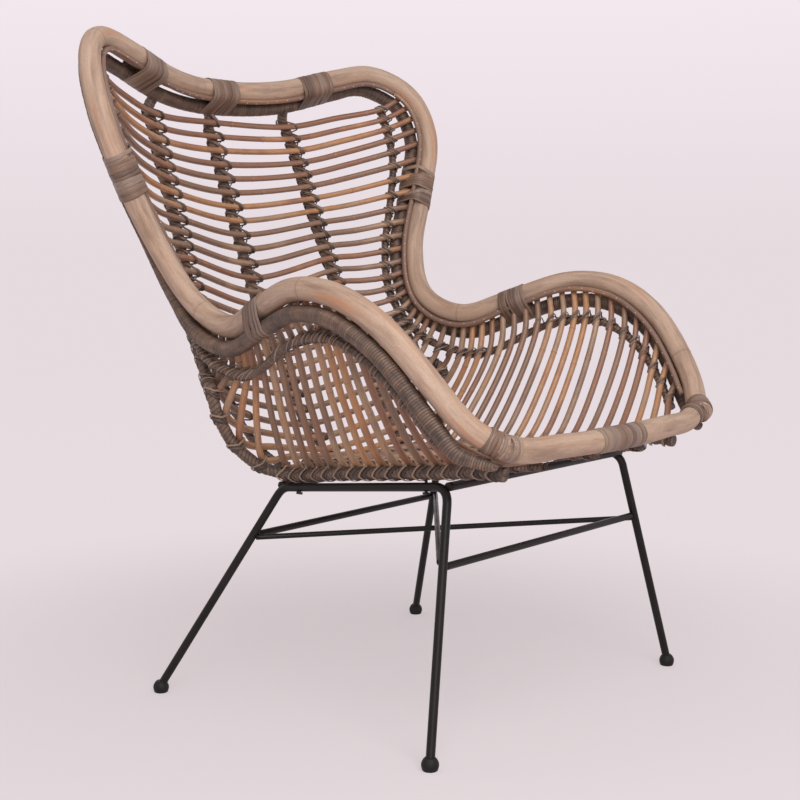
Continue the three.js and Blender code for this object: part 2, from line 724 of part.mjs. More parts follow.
// The braces cross at the middle, one over the other, and meet the legs beside the stretchers
const braceLift = outerRadius(braceRadius, rodSides) + seatGap / 2;
const stretcherRooms = [frontJoint, rearJoint].map((joint) =>
  solid(bar(joint, mirrored(joint), stretcherRadius + seatGap, rodSides)));
function brace(lift) {
  const from = stepAlong(rearJoint, vec(0, 0, 1), lift);
  const to = stepAlong(mirrored(frontJoint), vec(0, 0, 1), lift);
  return stretcherRooms.reduce((body, room) => body.subtract(room), crossBar(from, to, braceRadius));
}
addSolid("brace_upper", brace(braceLift), steelBlack);
addSolid("brace_lower", mirrorSolid(brace(-braceLift)), steelBlack);

// A ball foot on each rod, cut flat on the floor, with the rod in its socket
const padProfileShares = [[0, -0.6], [0.94, -0.6], [1, 0.1], [0.97, 0.4], [0.8, 0.72], [0.62, 1], [0, 1]];
function pad(sign, top) {
  const base = foot(sign);
  const upward = unit(base, top);
  const profile = padProfileShares.map(([r, h]) => new THREE.Vector2(r * padRadius, h * padLength));
  const geometry = new THREE.LatheGeometry(profile, padSides);
  geometry.applyQuaternion(new THREE.Quaternion().setFromUnitVectors(vec(0, 1, 0), upward));
  geometry.translate(base.x, base.y, base.z);
  const ground = new THREE.BoxGeometry(4 * padRadius, 4 * padRadius, 4 * padLength);
  ground.translate(base.x, base.y, -2 * padLength);
  return solid(geometry).subtract(solid(ground)).subtract(rodRoom);
}
const padFront = pad(-1, frontTop);
const padRear = pad(1, rearTop);
addSolid("foot_front_left", padFront, rubberBlack);
addSolid("foot_front_right", mirrorSolid(padFront), rubberBlack);
addSolid("foot_rear_left", padRear, rubberBlack);
addSolid("foot_rear_right", mirrorSolid(padRear), rubberBlack);

// The origin goes under the middle of the chair's width and depth, on the floor
const bounds = new THREE.Box3().setFromObject(chair);
chair.position.y = -(bounds.min.y + bounds.max.y) / 2;

export default chair;
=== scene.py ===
import functools
import math
import random

import bmesh
import bpy
import numpy as np
from bpy.props import FloatProperty, FloatVectorProperty, IntProperty, PointerProperty
from mathutils import Matrix, Vector


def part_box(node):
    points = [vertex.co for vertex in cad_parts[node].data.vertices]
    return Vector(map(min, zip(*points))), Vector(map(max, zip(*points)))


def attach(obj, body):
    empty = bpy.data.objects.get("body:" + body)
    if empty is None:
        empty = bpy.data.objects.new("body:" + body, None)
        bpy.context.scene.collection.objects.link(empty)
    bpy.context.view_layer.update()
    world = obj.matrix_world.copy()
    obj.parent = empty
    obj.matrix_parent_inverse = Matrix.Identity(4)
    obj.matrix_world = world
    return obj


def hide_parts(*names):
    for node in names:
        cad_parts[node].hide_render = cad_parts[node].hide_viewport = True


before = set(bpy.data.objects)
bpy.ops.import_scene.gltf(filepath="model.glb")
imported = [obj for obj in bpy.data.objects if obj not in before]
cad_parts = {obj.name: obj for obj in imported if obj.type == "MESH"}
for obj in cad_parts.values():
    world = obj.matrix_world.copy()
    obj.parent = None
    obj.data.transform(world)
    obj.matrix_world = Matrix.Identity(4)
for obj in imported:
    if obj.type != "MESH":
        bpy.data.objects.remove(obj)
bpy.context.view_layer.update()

bl_info = {
    "name": "Rattan wing lounge chair",
    "version": (1, 0, 0),
    "blender": (4, 5, 0),
    "location": "3D View > Sidebar > Rattan Chair",
    "description": "Canes, windings, lashings and steel of a rattan wing lounge chair, made round its frame",
    "category": "Add Mesh",
}

# The chair is one body, the same on both sides
BODY = "root"
SIDES = ("left", "right")
MIRROR = np.array([-1.0, 1.0, 1.0])

# The way from here to a cane faces out of the shell
SITTER = np.array([0.0, -0.10, 0.66])

# Hoops are counted from the top of the back. The first of them share a node with the keel.
HOOPS = 43
BACK_HOOPS = 14
BACK_PANEL = "keel_spar_and_back_hoops"

# Measuring the frame: corners this near are one, and hoops are cut off the keel this far from the middle
CORNER_MERGE = 2e-5
KEEL_CLEAR = 0.012

# Sections of a cane whose outline is this many times the usual one have a binding, and the rest that
# differ by more than this share have a notch
BOUND = 1.3
PLAIN_WITHIN = 0.08

# How far apart the places of a line are, and those that a line is made anew through
FINE = 0.001
COARSE = 0.02

# A mirrored line goes through one place in so many, and a first search looks at one in so many
MIRROR_STEP = 8
NEAR_STEP = 6

# Corners of a new mesh this near are one
WELD = 1e-6

# Back spars: how far they are moved out, where they leave the rim, and how far they pass the last hoop
SPAR_LIFT = 0.0015
RIM_GAP = 0.012
SPAR_END = 0.004

# Between these heights the back spars and the keel grow from their radius under the seat to their full one
SEAT_LEVEL = 0.44
BACK_LEVEL = 0.54

# An edge pole is carried on past these further hoops, in the way that it takes over its last ones
LAST_CROSSED = (21, 22, 23, 24)
CARRIED_ON = (20, 19, 18, 17)

# The wrapped rim's ends, which run on beside the pole and taper: their length, the places along them,
# how far they draw in to the pole, and the radius at the tip as a share of the full one
RIM_TAIL = 0.070
RIM_TAIL_SHARES = (0.25, 0.5, 0.75, 1.0)
RIM_TAIL_TUCK = 0.35
RIM_TAIL_TIP = 0.62

# The trim cane under the top of the back: the way to it from the pole, and its distance
TOP_TRIM_WAY = np.array([0.0, -0.50, -0.87])
TOP_TRIM_REACH = 0.0195
TOP_TRIM_STEPS = 25

# Nails in the trim canes: the usual gap, and the height of a head as a share of a round one's
NAIL_GAP = 0.021
NAIL_FLATNESS = 0.55

# Growth rings: stops of a cane's mesh at each, in half widths of the ring, and the least way to the end
RING_STOPS = (-2, -1, -0.4, 0, 0.4, 1, 2)
LAST_RING = 0.02

# A cane swells by this share of its radius, in waves of a length between these
SWELL = 0.03
SWELL_WAVES = (0.25, 0.45)

# Random numbers start from these for each hoop: one for its shape, one for its stain. How thick it is,
# in usual radii, lies between the last two.
CANE_SEED = 100
STAIN_SEED = 7000
CANE_RADII = (0.96, 1.05)

# Bindings: lengths along the pole, widths of a band and tones
TOP_BINDING = 0.056
TOP_BINDING_SPREAD = 0.190
TOP_BINDING_TONE = 0.45
CORNER_BINDING = 0.058
CORNER_PITCH = 0.0043
CORNER_TONE = 0.48
CORNER_REACH = 0.055

# The two groups of bands on the front rail: how far each lies from the middle, its length and its tone
FRONT_BINDINGS = ((-0.036, 0.036, 0.62), (0.018, 0.066, 0.46))
FRONT_PITCH = 0.0048

# Side bindings: the place of each, counted in hoops, its length, tone and band width, and whether its
# bands part where hoops meet the pole
SIDE_BINDINGS = (("wing", 7.85, 0.062, 0.46, 0.0058, True), ("arm", 29.2, 0.044, 0.44, 0.0044, False))

# Bands: the share of their spread that they keep between two hoops, and how full they are between the
# pole and a cane
HOOP_SQUEEZE = 0.42
BULGE = 0.92
BAND_STEPS = 26

# How uneven bands are: the change of tone along a binding, each band's own, its width in usual ones, how
# far it stands off in thicknesses of peel, and how it leans and twists
BAND_TREND = 0.35
BAND_TONES = 0.22
BAND_WIDTHS = (1.05, 1.25)
BAND_LIFTS = (0.2, 0.8)
BAND_LEAN = 0.06
BAND_TWIST = 0.08

# Strips that tie a hoop to a spar: how far aside of the crossing they pass over the hoop, the
# slant in degrees, the width and the tone
BACK_TIES = ((0.0075, 50, 0.0036, 0.46), (0.0032, 58, 0.0036, 0.18))
SIDE_TIES = ((0.0032, 40, 0.0022, 0.62), (-0.0012, 42, 0.0022, 0.25), (-0.0052, 44, 0.0022, 0.55))
TIES = {"back": BACK_TIES, "keel": BACK_TIES, "side": SIDE_TIES}
LASHING_STEPS = 14

# A hoop further than this from a spar isn't tied, and no strip lies nearer to the spar's way than this
LASHED_REACH = 0.028
LEAST_CROSSING = 0.45

# How far a lashing stands off the cane that it is tied to, and how slack it may be, in thicknesses of peel
LASHING_STAND = 1.6
LASHING_SLACK = 0.5

# Chevrons round an edge pole: where the point of each lies from the hoop, toward the front, how far it
# stands off the pole, its width, its tone, and whether it passes over the hoop
CHEVRONS = ((-0.0010, 0.0004, 0.0060, 0.08, False), (-0.0080, 0.0016, 0.0032, 0.68, True))
CHEVRON_DEPTH = 0.0110
CHEVRON_STEPS = 24
CHEVRON_STANDS = (0.8, 1.3)
CHEVRON_POINT = np.array([1.0, 0.0, -0.25])

# How uneven lashings and chevrons are: in degrees, metres, tone and usual widths
UNEVEN_SLANT = 5
UNEVEN_PLACE = 0.0008
UNEVEN_TONE = 0.15
UNEVEN_WIDTHS = (0.85, 1.15)

# How thick the strips of lashings and of bindings are, in thicknesses of peel
LASHING_THICKNESS = 1.3
BAND_THICKNESS = 1.5

# How far apart the rings of a steel rod are
ROD_STEP = 0.006

# The outline of a ball foot, as shares of its radius and its height, and how high up it the leg's line
# meets the foot's upright one
FOOT_OUTLINE = (
    (0.0, 0.0), (0.78, 0.0), (0.86, 0.05), (0.97, 0.30), (1.0, 0.46), (0.95, 0.64), (0.80, 0.84),
    (0.58, 1.0), (0.0, 1.0))
FOOT_LEG_SHARE = 0.6
FOOT_SIDES = 32

# The studio: the floor's radius, each lamp's place and width, the place that both of them face, and the
# tint of the even light
FLOOR_RADIUS = 16.0
LIGHTS = {"key": ((-1.2, -1.6, 2.1), 1.8), "fill": ((-1.8, -2.0, 0.9), 1.6)}
LIT_PLACE = Vector((0, 0, 0.5))
EVEN_LIGHT = (1.0, 0.98, 0.985)


# Sizes and colours that a user may change

def measure(name, description, default):
    return FloatProperty(name=name, description=description, default=default, unit="LENGTH", precision=5)


def colour(name, description, default):
    return FloatVectorProperty(
        name=name, description=description, default=default, subtype="COLOR", size=3, min=0.0, max=1.0)


class CaneSizes(bpy.types.PropertyGroup):
    hoop: measure("Hoop radius", "Radius of the canes that make the shell", 0.0048)
    pole: measure("Pole radius", "Radius of the pole round the shell", 0.0160)
    trim: measure("Trim radius", "Radius of the trim cane inside the pole", 0.0042)
    spar: measure("Back spar radius", "Radius of the keel and the back spars under their winding", 0.0078)
    seat_spar: measure("Seat spar radius", "Radius of the keel and the back spars below the seat", 0.0052)
    side_spar: measure("Side spar radius", "Radius of a side spar under its winding", 0.0054)
    edge: measure("Edge pole radius", "Radius of the pole on the steel under its lashing", 0.0078)
    wrapped: measure("Wrapped rim radius", "Radius of the outer rim under its winding", 0.0106)
    nail: measure("Nail head radius", "Radius of the small nails in the trim canes", 0.0011)
    ring_height: measure("Growth ring height", "How far a growth ring stands proud", 0.00035)
    ring_width: measure("Growth ring width", "Half the width of a growth ring", 0.0014)


class PeelSizes(bpy.types.PropertyGroup):
    thickness: measure("Peel thickness", "Thickness of the flat peel", 0.0009)
    rim_pitch: measure("Rim winding pitch", "Length of the outer rim under each turn", 0.0036)
    spar_pitch: measure("Spar winding pitch", "Length of a spar under each turn", 0.0062)
    band_pitch: measure("Binding band", "Width of each band in the top bindings", 0.0058)


class SteelSizes(bpy.types.PropertyGroup):
    rod: measure("Rod radius", "Radius of the side rods and cross bars", 0.0060)
    stretcher: measure("Stretcher radius", "Radius of the front and rear stretchers", 0.0050)
    brace: measure("Brace radius", "Radius of the crossed braces", 0.0040)
    foot: measure("Foot radius", "Radius of a ball foot", 0.0115)
    foot_height: measure("Foot height", "Height of a ball foot", 0.0170)
    sides: IntProperty(name="Rod sides", description="Faces round a rod", default=16, min=8)


class Colours(bpy.types.PropertyGroup):
    pole: colour("Pole", "Smooth peeled pole", (0.420, 0.268, 0.185))
    pole_pale: colour("Pale pole", "Bleached stretches of the pole", (0.480, 0.345, 0.265))
    pole_grey: colour("Grey pole", "Soiled streaks of the pole", (0.215, 0.135, 0.095))
    pole_warm: colour("Warm pole", "Orange streaks of the pole", (0.470, 0.215, 0.110))
    # The warm pole colour is also the painted highlight on the flanks of the hoops' growth rings
    honey: colour("Honey cane", "Lightest orange cane", (0.470, 0.220, 0.096))
    red: colour("Red cane", "Red-brown cane", (0.255, 0.104, 0.060))
    tan: colour("Tan cane", "Pale grey-tan cane", (0.380, 0.235, 0.150))
    dusk: colour("Grey cane", "Grey-brown cane", (0.215, 0.122, 0.080))
    trim: colour("Trim", "Purple-brown trim cane", (0.185, 0.108, 0.085))
    peel: colour("Peel", "Wound peel", (0.120, 0.074, 0.054))
    # The dark peel colour is also the painted shade in the grooves between wound turns
    peel_dark: colour("Dark peel", "Darker turns of the peel", (0.042, 0.025, 0.018))
    strip_brown: colour("Brown strip", "Brown strips of peel", (0.200, 0.112, 0.070))
    strip_grey: colour("Grey strip", "Grey strips of peel", (0.255, 0.180, 0.145))
    strip_tan: colour("Tan strip", "Tan strips of peel", (0.360, 0.232, 0.140))
    steel: colour("Steel", "Black coating of the base", (0.0085, 0.0060, 0.0056))
    foot: colour("Foot", "Rubber of the ball feet", (0.0075, 0.0060, 0.0060))
    nail: colour("Nail", "Heads of the small nails", (0.62, 0.56, 0.50))
    floor: colour("Floor", "Studio floor in its own shade", (0.700, 0.625, 0.645))
    floor_seen: colour("Near floor", "Studio floor near the chair as it is seen", (0.800, 0.718, 0.742))
    horizon: colour("Horizon", "Studio far behind the chair", (0.790, 0.708, 0.738))
    backdrop: colour("Backdrop", "Studio high behind the chair", (0.893, 0.812, 0.858))


class StageSettings(bpy.types.PropertyGroup):
    lens: FloatProperty(name="Lens", description="Focal length in millimetres", default=65.13)
    azimuth: FloatProperty(name="Azimuth", description="Degrees round the chair", default=-50.67)
    pitch: FloatProperty(name="Pitch", description="Degrees that the camera looks down", default=5.99)
    roll: FloatProperty(name="Roll", description="Degrees that the camera leans", default=0.13)
    place: FloatVectorProperty(
        name="Place", description="Where the camera stands", default=(-1.674, -1.383, 0.6473),
        unit="LENGTH")
    key: FloatProperty(
        name="Key light", description="Power of the large light above", default=46.0, unit="POWER")
    fill: FloatProperty(
        name="Fill light", description="Power of the light beside the camera", default=14.0,
        unit="POWER")
    world: FloatProperty(name="World", description="Level of the even light all round", default=0.50)


def sizes(group):
    return getattr(bpy.context.scene, "rattan_" + group)


# Lines through the frame

def unit(vectors):
    return vectors / np.linalg.norm(vectors, axis=-1, keepdims=True)


def away_from_sitter(places):
    return places - SITTER


def lengths_along(places):
    """How far along the line through the places each of them is."""
    return np.concatenate([[0], np.cumsum(np.linalg.norm(np.diff(places, axis=0), axis=1))])


def curve_through(places):
    """A centripetal curve through the places, as places FINE apart."""
    p = np.asarray(places, float)
    p = np.vstack([2 * p[0] - p[1], p, 2 * p[-1] - p[-2]])
    root = np.sqrt(np.linalg.norm(np.diff(p, axis=0), axis=1))
    dense = []
    for i in range(1, len(p) - 2):
        before, span, after = root[i - 1], root[i], root[i + 1]
        leave = span * ((p[i] - p[i - 1]) / before - (p[i + 1] - p[i - 1]) / (before + span)
                        + (p[i + 1] - p[i]) / span)
        arrive = span * ((p[i + 1] - p[i]) / span - (p[i + 2] - p[i]) / (span + after)
                         + (p[i + 2] - p[i + 1]) / after)
        count = max(2, math.ceil(span ** 2 / FINE))
        t = np.linspace(0, 1, count, endpoint=False)[:, None]
        dense.append(p[i] * (1 + 2 * t) * (1 - t) ** 2 + p[i + 1] * t * t * (3 - 2 * t)
                     + leave * t * (1 - t) ** 2 + arrive * t * t * (t - 1))
    return np.vstack([*dense, p[-2:-1]])


class Line:
    """A smooth line through places, known by the length along it. A tube's seam faces as facing says."""

    def __init__(self, places, facing=away_from_sitter):
        self.places = curve_through(places)
        self.lengths = lengths_along(self.places)
        self.length = self.lengths[-1]
        self.facing = facing

    def at(self, along):
        return np.stack([np.interp(along, self.lengths, axis) for axis in self.places.T], axis=-1)

    def onward(self, along):
        along = np.asarray(along, float)
        return unit(self.at(along + 2 * FINE) - self.at(along - 2 * FINE))

    def frame(self, along):
        """Places, the ways that the seam faces and the ways beside it."""
        place, onward = self.at(along), self.onward(along)
        facing = self.facing(place)
        normal = unit(facing - onward * np.sum(facing * onward, axis=-1, keepdims=True))
        return place, normal, np.cross(onward, normal)

    def mirrored(self):
        return Line(self.places[::MIRROR_STEP] * MIRROR, self.facing)

    def nearest(self, other):
        """Lengths along both lines where they pass closest to each other."""
        mine, theirs = range(0, len(self.places), NEAR_STEP), range(0, len(other.places), NEAR_STEP)
        for _ in range(2):
            gaps = np.linalg.norm(self.places[mine][:, None] - other.places[theirs][None], axis=-1)
            i, j = np.unravel_index(np.argmin(gaps), gaps.shape)
            i, j = mine[i], theirs[j]
            mine = range(max(0, i - NEAR_STEP), min(len(self.places), i + NEAR_STEP + 1))
            theirs = range(max(0, j - NEAR_STEP), min(len(other.places), j + NEAR_STEP + 1))
        return self.lengths[i], other.lengths[j]

    def along_of(self, place):
        """The length along the line at which it passes closest to a place."""
        return self.lengths[np.argmin(np.linalg.norm(self.places - place, axis=1))]

    def highest_end(self):
        return max(self.at(0), self.at(self.length), key=lambda place: place[2])

    def stops(self, first=0.0, last=None):
        """Lengths along the line about COARSE apart."""
        last = self.length if last is None else last
        return np.linspace(first, last, round(self.length / COARSE))

    def lifted(self, distance):
        """The same line, moved to the way that it faces."""
        place, normal, _ = self.frame(self.stops())
        return Line(place + normal * distance, self.facing)


def triangles(node):
    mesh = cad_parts[node].data
    mesh.calc_loop_triangles()
    corners = np.array([list(t.vertices) for t in mesh.loop_triangles])
    places = np.zeros(len(mesh.vertices) * 3)
    mesh.vertices.foreach_get("co", places)
    return places.reshape(-1, 3)[corners]


def section(faces, centre, onward, reach):
    """Centre and outline length of what a plane cuts near a place, or None past the end."""
    height = (faces - centre) @ onward
    cut = (height.min(1) < 0) & (height.max(1) > 0)
    corner, height = faces[cut], height[cut]
    after, height_after = np.roll(corner, -1, axis=1), np.roll(height, -1, axis=1)
    crossing = (height < 0) != (height_after < 0)
    share = np.where(crossing, height / np.where(crossing, height - height_after, 1), np.nan)
    ends = corner + (after - corner) * share[..., None]
    halfway = np.nanmean(ends, axis=1)
    span = np.linalg.norm(np.nanmax(ends, axis=1) - np.nanmin(ends, axis=1), axis=1)
    near = np.linalg.norm(halfway - centre, axis=1) < reach
    if not near.any():
        return None
    outline = span[near].sum()
    return (halfway[near] * span[near, None]).sum(0) / outline, outline


def marched(node, end, onward, step, reach, whole=True):
    """Centres of a cane's sections, from its end that lies furthest in the direction end.

    It sets off in the direction onward. Sections with a binding or a notch are passed over."""
    faces = triangles(node)
    corners = faces.reshape(-1, 3)
    tip = corners[np.argmax(corners @ np.array(end, float))]
    centre = corners[np.linalg.norm(corners - tip, axis=1) < reach].mean(0)
    onward = unit(np.array(onward, float))
    centres, outlines, ways = [], [], []
    while whole or centre[0] > 0:
        found = section(faces, centre + onward * step, onward, reach)
        if found is None:
            break
        if outlines and found[1] > BOUND * np.median(outlines):
            centre = centre + onward * step
            continue
        onward = unit(0.5 * onward + unit(found[0] - centre))
        centre = found[0]
        centres.append(centre)
        outlines.append(found[1])
        ways.append(onward)
    plain = np.abs(np.array(outlines) / np.median(outlines) - 1) < PLAIN_WITHIN
    line, ways = np.array(centres)[plain], np.array(ways)[plain]

    def beyond(centre, way):
        away = corners[np.linalg.norm(corners - centre, axis=1) < 3 * reach] - centre
        height = away @ way
        beside = np.linalg.norm(away - np.outer(height, way), axis=1)
        return centre + way * height[beside < reach].max()
    first, last = beyond(line[0], -ways[0]), beyond(line[-1], ways[-1])
    return np.vstack([first, line[1:-1], last if whole else line[-1]])


def bar(node, end):
    """The two ends of a straight bar."""
    corners = triangles(node).reshape(-1, 3)
    height = corners @ unit(np.array(end, float))
    ends = height > height.max() - FINE, height < height.min() + FINE
    return np.array([corners[end].mean(0) for end in ends])


def merged(node):
    """A CAD node as a bmesh whose faces share their corners."""
    bm = bmesh.new()
    bm.from_mesh(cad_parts[node].data)
    bmesh.ops.remove_doubles(bm, verts=bm.verts, dist=CORNER_MERGE)
    return bm


def levels(ring):
    """Rings of corners along a cane, from a ring onward."""
    seen = set()
    while ring:
        yield ring
        seen |= ring
        ring = {e.other_vert(v) for v in ring for e in v.link_edges} - seen


def middle(ring):
    return np.mean([v.co for v in ring], axis=0)


def stations(node, end):
    """Centres of a cane's rings of corners, from its end that lies furthest in the direction end."""
    bm = merged(node)
    flat = bm.copy()
    bmesh.ops.dissolve_limit(flat, angle_limit=math.radians(1), verts=flat.verts, edges=flat.edges)
    caps = [f for f in flat.faces if len(f.verts) > 4]
    cap = max(caps, key=lambda face: face.calc_center_median().dot(Vector(end)))
    outline = {v.co.copy().freeze() for v in cap.verts}
    first = {v for v in bm.verts if v.co.copy().freeze() in outline}
    places = [middle(ring) for ring in levels(first)]
    flat.free()
    bm.free()
    return np.array(places)


def smoothed(places, rounds=1):
    """Every second place of a measured line, once its small steps are evened out. Both ends stay."""
    for _ in range(rounds):
        inner = (places[:-2] + 2 * places[1:-1] + places[2:]) / 4
        places = np.vstack([places[:1], inner, places[-1:]])
    return np.vstack([places[:-1:2], places[-1:]])


def spar_radius(kind, place):
    """A spar's radius under its winding. The keel and the back spars are thinner below the seat."""
    canes = sizes("canes")
    if kind in ("side", "edge"):
        return np.full(place[..., 2].shape, {"side": canes.side_spar, "edge": canes.edge}[kind])
    rise = np.clip((place[..., 2] - SEAT_LEVEL) / (BACK_LEVEL - SEAT_LEVEL), 0, 1)
    return canes.seat_spar + (canes.spar - canes.seat_spar) * rise


def across_middle(half):
    """A whole line from a half that ends past the chair's middle."""
    half = half[half[:, 0] > 2 * FINE]
    return np.vstack([half, (half * MIRROR)[::-1]])


def half_hoops(node):
    """Places on each hoop of a node, from near the keel to the pole on the sitter's left."""
    bm = merged(node)
    bmesh.ops.bisect_plane(
        bm, geom=bm.verts[:] + bm.edges[:] + bm.faces[:], plane_co=(KEEL_CLEAR, 0, 0), plane_no=(1, 0, 0),
        clear_inner=True)
    opened = {v for v in bm.verts if v.is_boundary}
    halves = []
    while opened:
        ring, grown = set(), {opened.pop()}
        while grown:
            ring |= grown
            grown = {e.other_vert(v) for v in grown for e in v.link_edges if e.is_boundary} - ring
        opened -= ring
        edges = {e for v in ring for e in v.link_edges if e.is_boundary}
        cut = np.average([middle(e.verts) for e in edges], axis=0, weights=[e.calc_length() for e in edges])
        halves.append(np.array([cut] + [middle(level) for level in levels(ring)][1:]))
    bm.free()
    return halves


@functools.cache
def hoop_lines():
    """The lines of all the hoops, from the top of the back to the front of the seat."""
    halves = sorted(half_hoops(BACK_PANEL), key=lambda places: -places[0][2])
    for number in range(BACK_HOOPS + 1, HOOPS + 1):
        halves += half_hoops(f"hoop_{number:02d}")
    lines = []
    for near_keel, first, *others in halves:
        keel = first + (near_keel - first) * first[0] / (first[0] - near_keel[0])
        half = np.array([*others[::-1], first, keel * [0, 1, 1]])
        lines.append(Line(np.vstack([half, (half[:-1] * MIRROR)[::-1]])))
    return lines


def pair(line):
    return {"left": line, "right": line.mirrored()}


@functools.cache
def spar_lines():
    """The spars and edge poles by the names of their nodes."""
    back = marched("back_spar_left", end=(0, 0, 1), onward=(0, -0.3, -1), step=0.006, reach=0.012)
    edge = marched("edge_pole_left", end=(0, -1, 0), onward=(0, 1, 0), step=0.006, reach=0.014)
    lines = {
        "side_spar": Line(stations("side_spar_left", (0, 0, 1))),
        "back_spar": from_rim(Line(smoothed(back, 2)).lifted(SPAR_LIFT)),
        "edge_pole": carried_on(Line(smoothed(edge, 2)))}
    found = {f"{kind}_{side}": line for kind in lines for side, line in pair(lines[kind]).items()}
    found["keel_spar"] = keel_line()
    return found


def from_rim(spar):
    """A spar that starts inside the wrapped rim and ends behind the last hoop."""
    rim = rim_lines()["wrapped_rim"]
    top = rim.at(rim.along_of(spar.at(0)))
    _, last = hoop_lines()[-1].nearest(spar)
    return Line(np.vstack([top, spar.at(spar.stops(RIM_GAP, last + SPAR_END))]))


def carried_on(edge):
    """An edge pole, carried on up the rear corner, outside the hoops there."""
    hoops = hoop_lines()
    shares, gaps = [], []
    for number in LAST_CROSSED:
        hoop = hoops[number - 1]
        hoop_along, along = hoop.nearest(edge)
        shares.append(hoop_along / hoop.length)
        gaps.append(np.linalg.norm(hoop.at(hoop_along) - edge.at(along)))
    trend = np.poly1d(np.polyfit(LAST_CROSSED, shares, 1))
    more = []
    for number in CARRIED_ON:
        hoop = hoops[number - 1]
        place, normal, _ = hoop.frame(np.array([trend(number) * hoop.length]))
        more.append(place[0] + normal[0] * np.median(gaps))
    return Line(np.vstack([edge.at(edge.stops()), more]))


def keel_line():
    """The keel spar, outside the middles of the hoops."""
    middles = np.array([line.at(line.length / 2) for line in hoop_lines()])
    onward = unit(np.gradient(middles, axis=0))
    outward = np.cross(onward, [1.0, 0.0, 0.0])
    outward *= np.sign(np.sum(outward * away_from_sitter(middles), axis=1, keepdims=True))
    reach = sizes("canes").hoop + spar_radius("keel", middles) + sizes("peel").thickness
    places = middles + outward * reach[:, None]
    start, end = places[0] - onward[0] * RIM_GAP, places[-1] + onward[-1] * SPAR_END
    return from_rim(Line(np.vstack([start, places, end])))


@functools.cache
def rim_lines():
    """The pole, the front rail, the wrapped rim and the trim canes."""
    half = marched(
        "rim_pole", end=(0.3, -1, 0), onward=(0.4, 0.6, 0.4), step=0.008, reach=0.040, whole=False)
    pole = Line(smoothed(across_middle(half)))
    trim = marched("trim_cane_left", end=(0, -1, -1), onward=(0.1, 0.6, 0.6), step=0.006, reach=0.009)
    found = {
        "rim_pole": pole,
        "wrapped_rim": Line(with_tails(stations("wrapped_rim", (0.1, -1, 0)), pole)),
        "front_rail": Line(stations("front_rail", (1, 0, 0)))}
    for side, line in pair(Line(smoothed(trim, 2))).items():
        found[f"trim_cane_{side}"] = line
    return found


def with_tails(places, pole):
    """The wrapped rim's places, carried on beside the pole at both ends."""
    tails = []
    for end, inner in ((places[0], places[1]), (places[-1], places[-2])):
        start = pole.along_of(end)
        step = RIM_TAIL * np.sign(start - pole.along_of(inner))
        tails.append([
            pole.at(start + step * share) + (end - pole.at(start)) * (1 - RIM_TAIL_TUCK * share)
            for share in RIM_TAIL_SHARES])
    return np.vstack([tails[0][::-1], places, tails[1]])


# Meshes

def ended(name, bm):
    """A new mesh from a bmesh that is done with."""
    mesh = bpy.data.meshes.new(name)
    bm.to_mesh(mesh)
    bm.free()
    return mesh


def placed(name, data):
    """A new object in the scene."""
    made = bpy.data.objects.new(name, data)
    bpy.context.scene.collection.objects.link(made)
    return made


def rolled_grid(name, columns, rows):
    """A flat grid as a mesh, with the column and row of each of its corners."""
    bm = bmesh.new()
    bm.loops.layers.uv.new("UVMap")
    bmesh.ops.create_grid(bm, x_segments=columns, y_segments=rows, size=0.5)
    mesh = ended(name, bm)
    flat = np.zeros(len(mesh.vertices) * 3, np.float32)
    mesh.vertices.foreach_get("co", flat)
    flat = flat.reshape(-1, 3).astype(float)
    share = (flat - flat.min(0)) / np.maximum(np.ptp(flat, axis=0), FINE)
    column, row = (np.rint(share[:, i] * count).astype(int) for i, count in enumerate((columns, rows)))
    return mesh, column, row


def sweep(name, rings, sides, shape, turns, marks, run=None):
    """A closed tube through all the rings, or one through each run of rings.

    rings holds each ring's place, the way that its seam faces and the way beside it.
    shape(ring, share) gives a corner's two distances from the place, and turns(ring, share) its
    first UV."""
    place, normal, beside = rings
    mesh, column, ring = rolled_grid(name, sides, len(place) - 1)
    share = column / sides
    out, aside = shape(ring, share)
    corners = place[ring] + normal[ring] * out[:, None] + beside[ring] * aside[:, None]
    mesh.vertices.foreach_set("co", corners.astype(np.float32).ravel())
    for mark, values in marks.items():
        attribute = mesh.attributes.new(mark, "FLOAT", "POINT")
        attribute.data.foreach_set("value", values[ring].astype(np.float32))
    corner_of = np.zeros(len(mesh.loops), np.int32)
    mesh.loops.foreach_get("vertex_index", corner_of)
    uv = np.stack([turns(ring, share), share], axis=-1)[corner_of]
    mesh.uv_layers.active.data.foreach_set("uv", uv.astype(np.float32).ravel())
    bm = bmesh.new()
    bm.from_mesh(mesh)
    if run:
        between = [face for face in bm.faces if min(ring[v.index] for v in face.verts) % run == run - 1]
        bmesh.ops.delete(bm, geom=between, context="FACES")
    bmesh.ops.remove_doubles(bm, verts=[v for v in bm.verts if v.is_boundary], dist=WELD)
    bmesh.ops.holes_fill(bm, edges=[e for e in bm.edges if e.is_boundary], sides=0)
    bmesh.ops.recalc_face_normals(bm, faces=bm.faces)
    for face in bm.faces:
        face.smooth = len(face.verts) == 4
    bm.to_mesh(mesh)
    bm.free()
    return mesh


def tube(name, line, stops, sides, reach, turns, marks=None):
    """A closed tube along a line.

    reach(along, share) is its radius, turns(along, share) its first UV, and marks its attributes."""
    def shape(ring, share):
        radius = reach(stops[ring], share)
        return radius * np.cos(math.tau * share), radius * np.sin(math.tau * share)
    return sweep(name, line.frame(stops), sides, shape, lambda ring, share: turns(stops[ring], share),
                 {mark: value(stops) for mark, value in (marks or {}).items()})


def metres(along, share):
    return along


def even(radius):
    """The reach of a tube that is as thick all along."""
    return lambda along, share: np.full(along.shape, radius)


